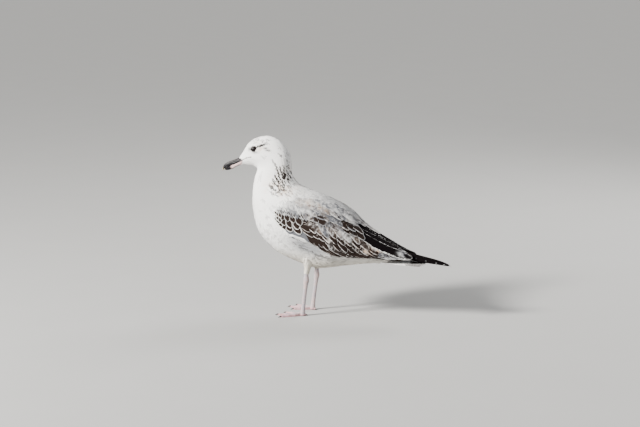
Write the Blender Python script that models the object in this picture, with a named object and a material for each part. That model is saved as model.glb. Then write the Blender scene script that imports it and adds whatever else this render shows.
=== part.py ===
"""A young white-headed gull standing still, at life size, as one closed solid for each part of its body.

The bird faces -Y with its left side at +X, and stands on the floor at z = 0.
Lengths below are millimetres, measured from the floor and from a line midway between its feet.
"""

import bmesh
import bpy
import numpy as np
from mathutils import Vector

MM = 0.001
MIDDLE = 62.5  # the middle of the bird's length lies this far behind its feet
GAP = 0.3  # clearance between neighbouring solids
SHARP_FROM = 50.0  # edges that turn more degrees than this stay sharp

AROUND = 28  # points round each section of the body
SECTIONS = {"head": 17, "neck": 8, "trunk": 16, "rump": 6}  # sections along each length of the body

# The body is one tube of plane sections that fan round from the bill to the tail. Each station gives a
# section's upper point (y, z), its lower point (y, z), its half width, the height of its widest place
# as a share of the section, and how full its upper and lower halves are (2 is an ellipse).
BODY = (
    ("bill base", (-161.0, 354.5), (-161.0, 337.0), 7.6, 0.48, 2.2, 2.0),
    ("forehead", (-151.5, 368.5), (-149.0, 339.5), 12.5, 0.46, 2.0, 2.0),
    ("brow", (-138.0, 389.0), (-136.0, 338.5), 19.0, 0.50, 2.1, 2.0),
    ("eye", (-119.0, 401.5), (-126.0, 337.0), 22.6, 0.52, 2.1, 2.0),
    ("crown", (-93.0, 406.5), (-120.0, 334.0), 24.6, 0.50, 2.1, 2.0),
    ("hind crown", (-66.0, 396.5), (-117.5, 330.0), 25.4, 0.48, 2.0, 2.0),
    ("nape", (-46.5, 374.5), (-119.0, 324.0), 26.4, 0.50, 2.0, 2.0),
    ("upper neck", (-39.5, 349.0), (-122.5, 314.5), 29.5, 0.52, 2.0, 2.1),
    ("lower neck", (-39.0, 325.0), (-125.5, 300.5), 34.0, 0.52, 2.0, 2.2),
    ("shoulder", (-27.0, 302.5), (-127.6, 275.5), 46.0, 0.52, 2.0, 2.3),
    ("mantle", (0.0, 288.5), (-126.5, 241.0), 59.0, 0.52, 2.1, 2.3),
    ("breast", (38.0, 275.5), (-112.0, 187.0), 66.0, 0.53, 2.2, 2.3),
    ("keel", (78.0, 258.0), (-74.5, 146.5), 66.5, 0.54, 2.2, 2.3),
    ("belly", (110.0, 236.0), (-24.0, 122.5), 62.0, 0.55, 2.2, 2.2),
    ("lower belly", (136.0, 209.0), (28.0, 108.5), 54.0, 0.54, 2.1, 2.2),
    ("vent", (164.0, 183.0), (88.0, 117.5), 43.0, 0.50, 2.0, 2.2),
    ("rump", (190.0, 162.5), (146.0, 126.0), 32.0, 0.45, 2.0, 2.2),
    ("tail coverts", (212.0, 146.5), (198.0, 130.0), 22.0, 0.40, 2.0, 2.0),
)
HEAD_TO = 6.5  # where the head ends and the neck begins, counted in stations
NECK_TO = 9.2
TRUNK_TO = 15.0
BODY_END = (4.0, -2.0)  # the rump under the tail ends this far behind its last section, y and z

# A folded wing is a bulged sheet. Each station gives y, the lower edge (x, z), the upper edge (x, z),
# how far the sheet bulges from the line between them, and its thickness at the middle.
WING = (
    (-66.0, (62.6, 231.0), (61.8, 244.0), 0.8, 3.0),
    (-57.0, (64.2, 220.0), (60.4, 258.0), 2.5, 6.0),
    (-30.0, (65.5, 196.0), (58.2, 268.0), 6.5, 9.0),
    (10.0, (64.5, 176.0), (51.6, 266.0), 12.5, 11.0),
    (60.0, (60.5, 152.0), (43.5, 253.0), 17.0, 11.0),
    (100.0, (55.5, 145.0), (28.0, 239.0), 18.0, 10.0),
    (130.0, (50.5, 144.5), (4.5, 219.0), 17.5, 8.0),
    (165.0, (43.5, 144.0), (1.6, 195.0), 14.0, 6.5),
    (200.0, (35.5, 139.5), (1.6, 176.0), 9.5, 5.0),
    (225.0, (29.0, 138.5), (5.0, 162.0), 6.0, 3.6),
    (240.0, (23.5, 143.0), (12.0, 155.5), 3.0, 2.4),
    (247.0, (19.5, 147.5), (16.5, 151.5), 1.0, 1.6),
)
WING_EDGE = 1.6  # thickness at the wing's edges
WING_ROOM = 30.0  # the body is cleared this far outside a wing
WING_ALONG = 23
WING_ACROSS = 8

# The long flight feathers stand out behind as one narrow blade a side, given the same way.
BLADE = (
    (184.0, (27.0, 143.5), (3.2, 171.0), 2.0, 2.6),
    (225.0, (21.5, 137.0), (1.0, 156.5), 2.0, 2.6),
    (250.0, (18.0, 134.4), (0.6, 151.0), 2.0, 2.4),
    (275.0, (13.2, 132.3), (0.4, 143.0), 1.6, 2.2),
    (300.0, (8.0, 128.8), (0.4, 134.5), 1.0, 1.9),
    (318.0, (4.2, 127.0), (0.6, 129.5), 0.3, 1.5),
)
BLADE_TIP = (326.5, 1.6, 126.8)
BLADE_EDGE = 1.0
BLADE_ROOM = 8.0  # the rump is cleared this far outside a blade
BLADE_ALONG = 12
BLADE_ACROSS = 5
FAR_BLADE_SHORTER = 5.0  # the right wing's tip ends this much before the left's

TAIL_ROOT = (166.0, 20.0, 135.0)  # y, half width and height of the closed tail where it leaves the body
TAIL_TIP = (274.0, 31.5, 129.9)
TAIL_ARCH = 1.8  # its edges lie this much lower than its middle
TAIL_ROUNDING = 9.0  # its corners lie this far before its middle
TAIL_THICK = (4.2, 1.6)  # at the root and at the tip
TAIL_EDGE = 0.8
TAIL_ALONG = 8

EYE = (-120.8, 380.0)  # the middle of each eye, y and z
EYE_RADIUS = 6.4
EYE_X = 16.6
SOCKET_SIDES = 16

# Swellings and hollows of the face: how far behind and above the eye, their spread, and their rise.
FACE = {
    "brow": (1.0, 9.0, 13.0, 5.0, 1.4),
    "lore": (-17.0, -12.0, 9.0, 7.0, -1.8),
    "cheek": (10.0, -22.0, 16.0, 10.0, 1.2),
}
FACE_BLEND = 2.5  # how sharply the relief fades out towards the middle of the head

# The bill's stations give y, the height of its outer edge (ridge or keel), the height of the line where
# it shuts, and its half width. The upper half hooks down over the lower one.
BILL_UPPER = (
    (-161.4, 354.2, 346.6, 6.9),
    (-172.0, 350.0, 341.6, 5.9),
    (-184.0, 345.6, 336.2, 4.9),
    (-192.0, 341.6, 332.2, 4.2),
    (-197.0, 337.4, 328.2, 3.3),
    (-200.0, 333.0, 324.8, 2.3),
    (-201.4, 328.5, 322.8, 1.2),
)
BILL_LOWER = (
    (-161.4, 337.4, 346.2, 6.6),
    (-170.0, 332.6, 342.1, 5.5),
    (-178.0, 327.8, 338.5, 4.6),
    (-186.0, 325.2, 334.9, 3.7),
    (-192.0, 324.4, 331.8, 2.8),
    (-196.0, 324.6, 328.6, 1.5),
)
BILL_SQUARE = {"ridge": (0.80, 0.86), "keel": (0.72, 0.86)}  # how boxy a half's section is, x and z
BILL_AROUND = 12
BILL_SECTIONS = 10

# Legs: the left leg stands a little before the right one.
LEGS = {"left": (1, 31.0, 4.0, -4.5), "right": (-1, 31.0, 12.8, 3.5)}  # side, x, heel-joint y, foot y
THIGH_TOP = (10.0, 150.0)  # behind the heel joint, height
THIGH_LOW = (1.0, 101.0)
THIGH_RADII = (24.0, 20.0, 13.0, 7.6, 6.4)
THIGH_OVAL = (0.86, 1.06)  # its section is narrower across than along the body
LEG_SIDES = 14
JOINT_HEIGHT = 82.0
SHANK_TOP = 100.7
SHANK_FOOT = 8.0
SHANK_RADII = ((4.0, 4.6), (4.2, 5.0), (5.0, 6.6), (4.0, 5.3), (3.3, 4.5), (3.4, 4.6), (4.3, 5.4))
SHANK_SHARES = (1.0, 0.88, 0.79, 0.68, 0.40, 0.14, 0.0)  # the heights of those radii

TOES = {"inner": (-25.0, 46.0), "middle": (0.0, 58.0), "outer": (23.0, 53.0)}  # turn in degrees, length
TOE_HALF = (3.9, 2.5)  # half width of a toe at its root and at its tip
TOE_HIGH = (7.2, 4.2)
TOE_ROOM = 0.18  # toes narrow to this share of their distance from the root, clear of each other
WEB_HIGH = 2.0
WEB_NOTCH = 0.13  # how far the web's margin hangs back between two toes, as a share of their length
TOE_ACROSS = ((-1.0, 0.0), (-0.62, 0.72), (0.0, 1.0), (0.62, 0.72), (1.0, 0.0))  # half width, height
TOE_END = 0.35  # a toe drops to this share of its height at its end
CLAW = {"length": 8.5, "root": 2.1, "tip": 0.5, "inset": 3.5, "rise": 1.4}
KNUCKLE = (6.9, 4.7)  # radius at the floor and under the shank
HIND_TOE = {"length": 11.5, "inward": 4.0, "root": 2.6, "tip": 0.9, "rise": 3.0}
FOOT_TURN = 9.0  # each foot turns this far outward, in degrees
FOOT_ROWS = 7
SINK = 2.0  # the foot is modelled this much too deep, then cut flat at the floor
WELD = 0.02

COLOURS = {  # colour, roughness
    "plumage_white": ((0.83, 0.82, 0.80), 0.85),
    "plumage_grey": ((0.47, 0.47, 0.47), 0.8),
    "plumage_dark": ((0.03, 0.026, 0.025), 0.6),
    "leg_skin": ((0.72, 0.60, 0.58), 0.5),
    "eye": ((0.02, 0.012, 0.01), 0.05),
    "bill": ((0.03, 0.028, 0.03), 0.4),
}


# ---------------------------------------------------------------- scene, materials and meshes


def clear_scene():
    for obj in list(bpy.data.objects):
        bpy.data.objects.remove(obj)


def make_collection(name):
    made = bpy.data.collections.new(name)
    bpy.context.scene.collection.children.link(made)
    return made


def make_material(name, colour, roughness):
    made = bpy.data.materials.new(name)
    made.use_nodes = True
    shader = made.node_tree.nodes["Principled BSDF"]
    shader.inputs["Base Color"].default_value = (*colour, 1.0)
    shader.inputs["Roughness"].default_value = roughness
    return made


def add_object(name, mesh, collection, finish=None):
    obj = bpy.data.objects.new(name, mesh)
    collection.objects.link(obj)
    if finish:
        mesh.materials.append(make_material(name + "_finish", *COLOURS[finish]))
    return obj


def to_mesh(name, bm, smooth=True):
    """A mesh from millimetre work, in metres and with the bird's middle at the origin."""
    for vert in bm.verts:
        vert.co = (vert.co - Vector((0.0, MIDDLE, 0.0))) * MM
    mesh = bpy.data.meshes.new(name)
    bm.to_mesh(mesh)
    bm.free()
    if smooth:
        mesh.shade_smooth()
        mesh.set_sharp_from_angle(angle=np.radians(SHARP_FROM))
    return mesh


def loft(rings, poles=(None, None), sheet=False):
    """Closed skin over a row of rings with equal counts. An end runs to a pole, or is flat: a fan from
    its middle, or on a sheet, whose ring is one face there and back, a ladder between the two faces."""
    bm = bmesh.new()
    rows = [[bm.verts.new(point) for point in ring] for ring in rings]
    count = len(rows[0])
    for low, high in zip(rows, rows[1:]):
        for i in range(count):
            j = (i + 1) % count
            bm.faces.new((low[i], low[j], high[j], high[i]))
    for row, pole in ((rows[0], poles[0]), (rows[-1], poles[1])):
        if sheet and pole is None:
            for i in range(count // 2 - 1):
                bm.faces.new((row[i], row[i + 1], row[count - 2 - i], row[count - 1 - i]))
            continue
        tip = bm.verts.new(np.mean([v.co for v in row], axis=0) if pole is None else pole)
        for i in range(count):
            bm.faces.new((row[i], row[(i + 1) % count], tip))
    bmesh.ops.recalc_face_normals(bm, faces=bm.faces)
    return bm


def smooth_table(rows, places):
    """Catmull-Rom curve through the rows of a table, read at fractional row numbers."""
    rows = np.asarray(rows, float)
    padded = np.vstack([2 * rows[0] - rows[1], rows, 2 * rows[-1] - rows[-2]])
    places = np.clip(np.asarray(places, float), 0, len(rows) - 1)
    low = np.minimum(places.astype(int), len(rows) - 2)
    t = (places - low)[:, None]
    a, b, c, d = (padded[low + k] for k in range(4))
    return b + 0.5 * t * (c - a + t * (2 * a - 5 * b + 4 * c - d + t * (3 * (b - c) + d - a)))


def place_at(table_ys, y):
    """Fractional row numbers at which a table's rising first column reaches y."""
    return np.interp(y, table_ys, np.arange(len(table_ys)))


# ---------------------------------------------------------------- body: head, neck, trunk and rump


def body_rows(places):
    table = [(*top, *low, wide, high, up, down) for _, top, low, wide, high, up, down in BODY]
    return smooth_table(table, places)


def power(value, exponent):
    return np.sign(value) * np.abs(value) ** exponent


def face_relief(points, angles):
    """Brow, lore and cheek: soft swellings and hollows of the face, along X."""
    y, z = points[:, 1], points[:, 2]
    side = np.sign(np.sin(angles)) * np.minimum(1.0, FACE_BLEND * np.abs(np.sin(angles)))
    for behind, above, spread_y, spread_z, rise in FACE.values():
        far = ((y - EYE[0] - behind) / spread_y) ** 2 + ((z - EYE[1] - above) / spread_z) ** 2
        points[:, 0] += side * rise * np.exp(-far)
    return points


def body_ring(place):
    """One section: a plane superellipse between its upper and lower points."""
    row = body_rows([place])[0]
    top, low, wide, high, up, down = row[0:2], row[2:4], row[4], row[5], row[6], row[7]
    angles = 2 * np.pi * np.arange(AROUND) / AROUND
    upper = np.cos(angles) >= 0
    fullness = np.where(upper, up, down)
    share = high + np.where(upper, 1 - high, high) * power(np.cos(angles), 2 / fullness)
    x = wide * power(np.sin(angles), 2 / fullness)
    line = low + share[:, None] * (top - low)
    return face_relief(np.column_stack([x, line]), angles)


def section_normal(place):
    """Unit normal of a section plane, pointing back towards the tail."""
    row = body_rows([place])[0]
    up = np.array([0.0, row[0] - row[2], row[1] - row[3]])
    normal = np.cross((1.0, 0.0, 0.0), up)
    return -normal / np.linalg.norm(normal)


def body_length(start, end, count, poles=(None, None)):
    """Rings from one place to another, drawn in by half a gap at each flat end."""
    places = np.linspace(start, end, count)
    rings = [body_ring(place) for place in places]
    if poles[0] is None:
        rings[0] = rings[0] + section_normal(start) * GAP / 2
    if poles[1] is None:
        rings[-1] = rings[-1] - section_normal(end) * GAP / 2
    return loft(rings, poles)


def make_head(parts):
    bm = body_length(0.0, HEAD_TO, SECTIONS["head"])
    return add_object("head", to_mesh("head", bm), parts, "plumage_white")


def make_neck(parts):
    bm = body_length(HEAD_TO, NECK_TO, SECTIONS["neck"])
    return add_object("neck", to_mesh("neck", bm), parts, "plumage_white")


def make_trunk(parts):
    bm = body_length(NECK_TO, TRUNK_TO, SECTIONS["trunk"])
    return add_object("trunk", to_mesh("trunk", bm), parts, "plumage_white")


def make_rump(parts):
    """The feathered end of the body, behind the vent."""
    last = len(BODY) - 1
    row = body_rows([last])[0]
    end = (0.0, (row[0] + row[2]) / 2 + BODY_END[0], (row[1] + row[3]) / 2 + BODY_END[1])
    bm = body_length(TRUNK_TO, last, SECTIONS["rump"], (None, end))
    return add_object("rump", to_mesh("rump", bm), parts, "plumage_white")


# ---------------------------------------------------------------- wings, flight feathers and tail


def sheet_rows(table, ys):
    rows = [(y, *low, *up, bulge, thick) for y, low, up, bulge, thick in table]
    return smooth_table(rows, place_at([row[0] for row in table], ys))


def sheet_ring(row, edge, across, side, out=0.0, grow=0.0):
    """Section of a bulged sheet: its outer face from the lower edge up, then its inner face back."""
    y, low, up, bulge, thick = row[0], row[1:3], row[3:5], row[5], row[6]
    chord = (up - low) / np.linalg.norm(up - low)
    normal = np.array([chord[1], -chord[0]])
    low, up = low - chord * grow, up + chord * grow
    v = np.linspace(0, 1, across + 1)[:, None]
    arch = 4 * v * (1 - v)
    middle = low + v * (up - low) + normal * bulge * arch
    depth = edge + (thick - edge) * arch
    outer = middle + normal * out
    inner = (middle - normal * (depth + grow))[::-1]
    xz = np.vstack([outer, inner])
    return np.column_stack([side * xz[:, 0], np.full(len(xz), y), xz[:, 1]])


def make_wing(parts, name, side):
    ys = np.linspace(WING[0][0], WING[-1][0], WING_ALONG)
    rings = [sheet_ring(row, WING_EDGE, WING_ACROSS, side) for row in sheet_rows(WING, ys)]
    name = "wing_" + name
    return add_object(name, to_mesh(name, loft(rings, sheet=True)), parts, "plumage_grey")


def make_wing_bed(cutters, name, side):
    """The room a wing takes from the body: from just under its inner face to well outside."""
    ys = np.linspace(WING[0][0], WING[-1][0], WING_ALONG)
    rows = sheet_rows(WING, ys)
    rings = [sheet_ring(row, WING_EDGE, WING_ACROSS, side, out=WING_ROOM, grow=GAP) for row in rows]
    rings[0][:, 1] -= GAP
    rings[-1][:, 1] += GAP
    name = "wing_bed_" + name
    return add_object(name, to_mesh(name, loft(rings, sheet=True), False), cutters)


def blade_rings(side, out=0.0, grow=0.0):
    shorter = FAR_BLADE_SHORTER if side < 0 else 0.0
    reach = 1 - shorter / (BLADE_TIP[0] - BLADE[0][0])
    ys = np.linspace(BLADE[0][0], BLADE[-1][0], BLADE_ALONG)
    rings = [sheet_ring(row, BLADE_EDGE, BLADE_ACROSS, side, out, grow) for row in sheet_rows(BLADE, ys)]
    for ring in rings:
        ring[:, 1] = BLADE[0][0] + (ring[:, 1] - BLADE[0][0]) * reach
    return rings, (side * BLADE_TIP[1], BLADE_TIP[0] - shorter, BLADE_TIP[2])


def make_blade(parts, name, side):
    rings, tip = blade_rings(side)
    name = "primaries_" + name
    return add_object(name, to_mesh(name, loft(rings, (None, tip), sheet=True)), parts, "plumage_dark")


def make_blade_bed(cutters, name, side):
    """The room a blade's root takes from the rump, open to the wing's bed above it."""
    rings, tip = blade_rings(side, out=BLADE_ROOM, grow=GAP)
    rings[0][:, 1] -= GAP
    name = "blade_bed_" + name
    return add_object(name, to_mesh(name, loft(rings, (None, tip), sheet=True), False), cutters)


def tail_ring(share, grow=0.0, count=8):
    """Section of the closed tail: a shallow arch, thick in the middle and thin at its edges."""
    y, half, z = np.array(TAIL_ROOT) + share * (np.array(TAIL_TIP) - TAIL_ROOT)
    u = np.linspace(-1, 1, count + 1)
    thick = TAIL_THICK[0] + share * (TAIL_THICK[1] - TAIL_THICK[0])
    depth = TAIL_EDGE + (thick - TAIL_EDGE) * (1 - u**2)
    back = y - TAIL_ROUNDING * share**4 * np.abs(u) ** 2.5
    middle = z - TAIL_ARCH * u**2
    above = np.column_stack([u * (half + grow), back, middle + depth / 2 + grow])
    below = np.column_stack([u * (half + grow), back, middle - depth / 2 - grow])
    return np.vstack([above, below[::-1]])


def make_tail(parts):
    rings = [tail_ring(share) for share in np.linspace(0, 1, TAIL_ALONG)]
    return add_object("tail", to_mesh("tail", loft(rings, sheet=True)), parts, "plumage_white")


def make_tail_bed(cutters):
    """The slot that the tail's root takes in the rump."""
    rings = [tail_ring(share, GAP) for share in np.linspace(0, 1, TAIL_ALONG)]
    rings[0][:, 1] -= GAP
    return add_object("tail_bed", to_mesh("tail_bed", loft(rings, sheet=True), False), cutters)


# ---------------------------------------------------------------- eyes and bill


def make_ball(name, collection, centre, radius, finish=None):
    bm = bmesh.new()
    bmesh.ops.create_uvsphere(bm, u_segments=SOCKET_SIDES, v_segments=SOCKET_SIDES // 2, radius=radius)
    bmesh.ops.translate(bm, vec=centre, verts=bm.verts)
    return add_object(name, to_mesh(name, bm), collection, finish)


def bill_ring(row, square):
    """Half-round section: a flat face where the bill shuts and a rounded ridge or keel."""
    y, ridge, shut, wide = row
    angles = np.linspace(0, np.pi, BILL_AROUND)
    x = wide * power(np.cos(angles), square[0])
    z = shut + (ridge - shut) * power(np.sin(angles), square[1])
    return np.column_stack([x, np.full(BILL_AROUND, y), z])


def make_bill(parts, name, table, square):
    places = np.linspace(0, len(table) - 1, BILL_SECTIONS)
    rings = [bill_ring(row, square) for row in smooth_table(table, places)]
    return add_object(name, to_mesh(name, loft(rings)), parts, "bill")


# ---------------------------------------------------------------- legs


def ellipse_ring(centre, radii):
    angles = 2 * np.pi * np.arange(LEG_SIDES) / LEG_SIDES
    x, y, z = centre
    ring = np.column_stack([radii[0] * np.cos(angles), radii[1] * np.sin(angles), np.zeros(LEG_SIDES)])
    return ring + (x, y, z)


def thigh_rings(leg, grow=0.0):
    side, x, joint_y, _ = LEGS[leg]
    shares = np.linspace(0, 1, len(THIGH_RADII))
    rings = []
    for share, radius in zip(shares, THIGH_RADII):
        y = joint_y + THIGH_TOP[0] + share * (THIGH_LOW[0] - THIGH_TOP[0])
        z = THIGH_TOP[1] + share * (THIGH_LOW[1] - THIGH_TOP[1])
        wide = radius + grow
        rings.append(ellipse_ring((side * x, y, z), (wide * THIGH_OVAL[0], wide * THIGH_OVAL[1])))
    return rings


def make_thigh(parts, leg):
    rings = thigh_rings(leg)
    return add_object("thigh_" + leg, to_mesh("thigh_" + leg, loft(rings)), parts, "plumage_white")


def make_thigh_bed(cutters, leg):
    rings = thigh_rings(leg, GAP)
    rings[0] = rings[0] + (0.0, 0.0, GAP)
    return add_object("thigh_bed_" + leg, to_mesh("thigh_bed_" + leg, loft(rings), False), cutters)


def make_shank(parts, leg):
    """Bare leg: its end below the feathers, the knob of the heel joint and the long shank."""
    side, x, joint_y, foot_y = LEGS[leg]
    rings = []
    for share, (wide, deep) in zip(SHANK_SHARES, SHANK_RADII):
        z = SHANK_FOOT + share * (SHANK_TOP - SHANK_FOOT)
        below = max(0.0, (JOINT_HEIGHT - z) / (JOINT_HEIGHT - SHANK_FOOT))
        y = joint_y + below * (foot_y - joint_y)
        rings.append(ellipse_ring((side * x, y, z), (wide, deep)))
    name = "shank_" + leg
    return add_object(name, to_mesh(name, loft(rings)), parts, "leg_skin")


def toe_direction(turn):
    turn = np.radians(turn)
    return np.array([np.sin(turn), -np.cos(turn)])


def foot_grid():
    """Columns across a foot, as (turn, share of the toe's half width, ridge, length)."""
    toes = list(TOES.values())
    columns = []
    for i, (turn, length) in enumerate(toes):
        columns += [(turn, offset, ridge, length) for offset, ridge in TOE_ACROSS]
        if i + 1 < len(toes):
            next_turn, next_length = toes[i + 1]
            notch = (1 - WEB_NOTCH) * (length + next_length) / 2
            columns.append(((turn + next_turn) / 2, 0.0, 0.0, notch))
    return columns


def foot_plate():
    """Toes and webs as one sheet: half-round toes with the thin web between them."""
    columns = foot_grid()
    rows = []
    for share in np.linspace(0.1, 1.0, FOOT_ROWS):
        half = TOE_HALF[0] + share * (TOE_HALF[1] - TOE_HALF[0])
        high = TOE_HIGH[0] + share * (TOE_HIGH[1] - TOE_HIGH[0])
        top, bottom = [], []
        for turn, offset, ridge, length in columns:
            along = toe_direction(turn)
            across = np.array([-along[1], along[0]])
            near = min(half, TOE_ROOM * length * share)
            x, y = along * length * share + across * near * offset
            drop = TOE_END if share == 1.0 else 1.0
            top.append((x, y, WEB_HIGH + (high - WEB_HIGH) * ridge * drop))
            bottom.append((x, y, -SINK))
        rows.append(np.array(top + bottom[::-1]))
    return loft(rows, sheet=True)


def tapered_rod(start, end, radius, tip_radius, sides=10):
    start, end = Vector(start), Vector(end)
    bm = bmesh.new()
    bmesh.ops.create_cone(
        bm, cap_ends=True, segments=sides, radius1=radius, radius2=tip_radius, depth=(end - start).length
    )
    turn = (end - start).to_track_quat("Z", "Y").to_matrix().to_4x4()
    bmesh.ops.transform(bm, matrix=turn, verts=bm.verts)
    bmesh.ops.translate(bm, vec=(start + end) / 2, verts=bm.verts)
    return bm


def join_solids(pieces, parts, name):
    """Boolean union of closed pieces, all in millimetres round the foot's own origin."""
    objects = []
    for i, bm in enumerate(pieces):
        mesh = bpy.data.meshes.new(f"{name}_{i}")
        bm.to_mesh(mesh)
        bm.free()
        objects.append(add_object(f"{name}_{i}", mesh, parts))
    first = objects[0]
    for other in objects[1:]:
        union = first.modifiers.new("union", "BOOLEAN")
        union.operation = "UNION"
        union.solver = "EXACT"
        union.object = other
    evaluated = first.evaluated_get(bpy.context.evaluated_depsgraph_get())
    joined = bmesh.new()
    joined.from_mesh(bpy.data.meshes.new_from_object(evaluated))
    for obj in objects:
        bpy.data.objects.remove(obj)
    return joined


def flatten_sole(bm):
    """Cuts everything below the floor away and closes the cut as one flat sole."""
    whole = bm.verts[:] + bm.edges[:] + bm.faces[:]
    cut = bmesh.ops.bisect_plane(bm, geom=whole, plane_co=(0, 0, 0), plane_no=(0, 0, 1), clear_inner=True)
    edges = [item for item in cut["geom_cut"] if isinstance(item, bmesh.types.BMEdge)]
    bmesh.ops.holes_fill(bm, edges=edges)
    bmesh.ops.remove_doubles(bm, verts=bm.verts, dist=WELD)
    bmesh.ops.triangulate(bm, faces=bm.faces)


def make_foot(parts, leg):
    """Three webbed toes with claws, the knuckle they spring from, and the small hind toe."""
    side, x, _, foot_y = LEGS[leg]
    pieces = [foot_plate()]
    for turn, length in TOES.values():
        along = toe_direction(turn)
        root = (*along * (length - CLAW["inset"]), CLAW["rise"])
        tip = (*along * (length + CLAW["length"]), 0.0)
        pieces.append(tapered_rod(root, tip, CLAW["root"], CLAW["tip"]))
    pieces.append(tapered_rod((0, 0, -SINK), (0, 0, SHANK_FOOT - GAP), *KNUCKLE))
    hind_tip = (-HIND_TOE["inward"], HIND_TOE["length"], 0.0)
    pieces.append(tapered_rod((0, 0, HIND_TOE["rise"]), hind_tip, HIND_TOE["root"], HIND_TOE["tip"]))
    bm = join_solids(pieces, parts, "foot_piece")
    flatten_sole(bm)
    turn = np.radians(FOOT_TURN)
    for vert in bm.verts:
        px, py = vert.co.x, vert.co.y
        vert.co.x = side * (x + px * np.cos(turn) - py * np.sin(turn))
        vert.co.y = foot_y + px * np.sin(turn) + py * np.cos(turn)
    if side < 0:
        bmesh.ops.reverse_faces(bm, faces=bm.faces)
    name = "foot_" + leg
    return add_object(name, to_mesh(name, bm), parts, "leg_skin")


# ---------------------------------------------------------------- assembly


def cut_away(obj, cutter):
    cutter.hide_render = True
    cutter.display_type = "WIRE"
    cut = obj.modifiers.new("clear_" + cutter.name, "BOOLEAN")
    cut.operation = "DIFFERENCE"
    cut.solver = "EXACT"
    cut.object = cutter


def main():
    clear_scene()
    parts = make_collection("gull")
    cutters = make_collection("cutters")
    head = make_head(parts)
    make_neck(parts)
    trunk = make_trunk(parts)
    rump = make_rump(parts)
    make_tail(parts)
    cut_away(rump, make_tail_bed(cutters))
    make_bill(parts, "bill_upper", BILL_UPPER, BILL_SQUARE["ridge"])
    make_bill(parts, "bill_lower", BILL_LOWER, BILL_SQUARE["keel"])
    for name, side in (("left", 1), ("right", -1)):
        make_wing(parts, name, side)
        wing_bed = make_wing_bed(cutters, name, side)
        cut_away(trunk, wing_bed)
        cut_away(rump, wing_bed)
        make_blade(parts, name, side)
        cut_away(rump, make_blade_bed(cutters, name, side))
        centre = (side * EYE_X, *EYE)
        make_ball("eye_" + name, parts, centre, EYE_RADIUS, "eye")
        cut_away(head, make_ball("socket_" + name, cutters, centre, EYE_RADIUS + GAP))
        make_thigh(parts, name)
        cut_away(trunk, make_thigh_bed(cutters, name))
        make_shank(parts, name)
        make_foot(parts, name)


main()
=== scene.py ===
"""Looks of a young gull that stands still: one skin, a coat of small feathers, and the larger feathers
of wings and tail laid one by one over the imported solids.

Shapes are worked out in millimetres, from the floor and from a line midway between the feet, with the
bill towards -Y and the bird's left side at +X. They go into meshes in metres, in the frame of the solids.
"""

import bpy
import numpy as np
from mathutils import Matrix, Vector


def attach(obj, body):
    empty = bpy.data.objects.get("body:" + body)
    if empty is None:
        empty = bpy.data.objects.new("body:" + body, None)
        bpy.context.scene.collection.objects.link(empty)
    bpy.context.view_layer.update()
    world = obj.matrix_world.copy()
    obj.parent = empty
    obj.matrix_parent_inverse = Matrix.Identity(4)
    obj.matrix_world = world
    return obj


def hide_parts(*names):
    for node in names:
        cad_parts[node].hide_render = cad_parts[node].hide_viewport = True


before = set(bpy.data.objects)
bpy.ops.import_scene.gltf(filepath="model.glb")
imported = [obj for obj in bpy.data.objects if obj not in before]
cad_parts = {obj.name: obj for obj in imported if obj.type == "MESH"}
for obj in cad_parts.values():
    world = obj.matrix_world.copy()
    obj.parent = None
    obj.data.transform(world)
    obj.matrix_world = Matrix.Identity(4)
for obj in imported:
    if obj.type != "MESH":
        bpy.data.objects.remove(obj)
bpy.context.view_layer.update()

MM = 0.001
MIDDLE = 62.5  # the middle of the bird's length lies this far behind its feet
TURN = 2 * np.pi

# The body is one tube of plane sections. Each station: upper point (y, z), lower point (y, z), half width,
# height of the widest place as a share of the section, fullness of the upper and lower halves.
BODY = np.array([
    (-161.0, 354.5, -161.0, 337.0, 7.6, 0.48, 2.2, 2.0),  # bill base
    (-151.5, 368.5, -149.0, 339.5, 12.5, 0.46, 2.0, 2.0),
    (-138.0, 389.0, -136.0, 338.5, 19.0, 0.50, 2.1, 2.0),
    (-119.0, 401.5, -126.0, 337.0, 22.6, 0.52, 2.1, 2.0),  # eye
    (-93.0, 406.5, -120.0, 334.0, 24.6, 0.50, 2.1, 2.0),
    (-66.0, 396.5, -117.5, 330.0, 25.4, 0.48, 2.0, 2.0),
    (-46.5, 374.5, -119.0, 324.0, 26.4, 0.50, 2.0, 2.0),  # nape
    (-39.5, 349.0, -122.5, 314.5, 29.5, 0.52, 2.0, 2.1),
    (-39.0, 325.0, -125.5, 300.5, 34.0, 0.52, 2.0, 2.2),
    (-27.0, 302.5, -127.6, 275.5, 46.0, 0.52, 2.0, 2.3),  # shoulder
    (0.0, 288.5, -126.5, 241.0, 59.0, 0.52, 2.1, 2.3),
    (38.0, 275.5, -112.0, 187.0, 66.0, 0.53, 2.2, 2.3),  # breast
    (78.0, 258.0, -74.5, 146.5, 66.5, 0.54, 2.2, 2.3),
    (110.0, 236.0, -24.0, 122.5, 62.0, 0.55, 2.2, 2.2),  # belly
    (136.0, 209.0, 28.0, 108.5, 54.0, 0.54, 2.1, 2.2),
    (164.0, 183.0, 88.0, 117.5, 43.0, 0.50, 2.0, 2.2),  # vent
    (190.0, 162.5, 146.0, 126.0, 32.0, 0.45, 2.0, 2.2),
    (212.0, 146.5, 198.0, 130.0, 22.0, 0.40, 2.0, 2.0),
])
LAST = len(BODY) - 1

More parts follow.
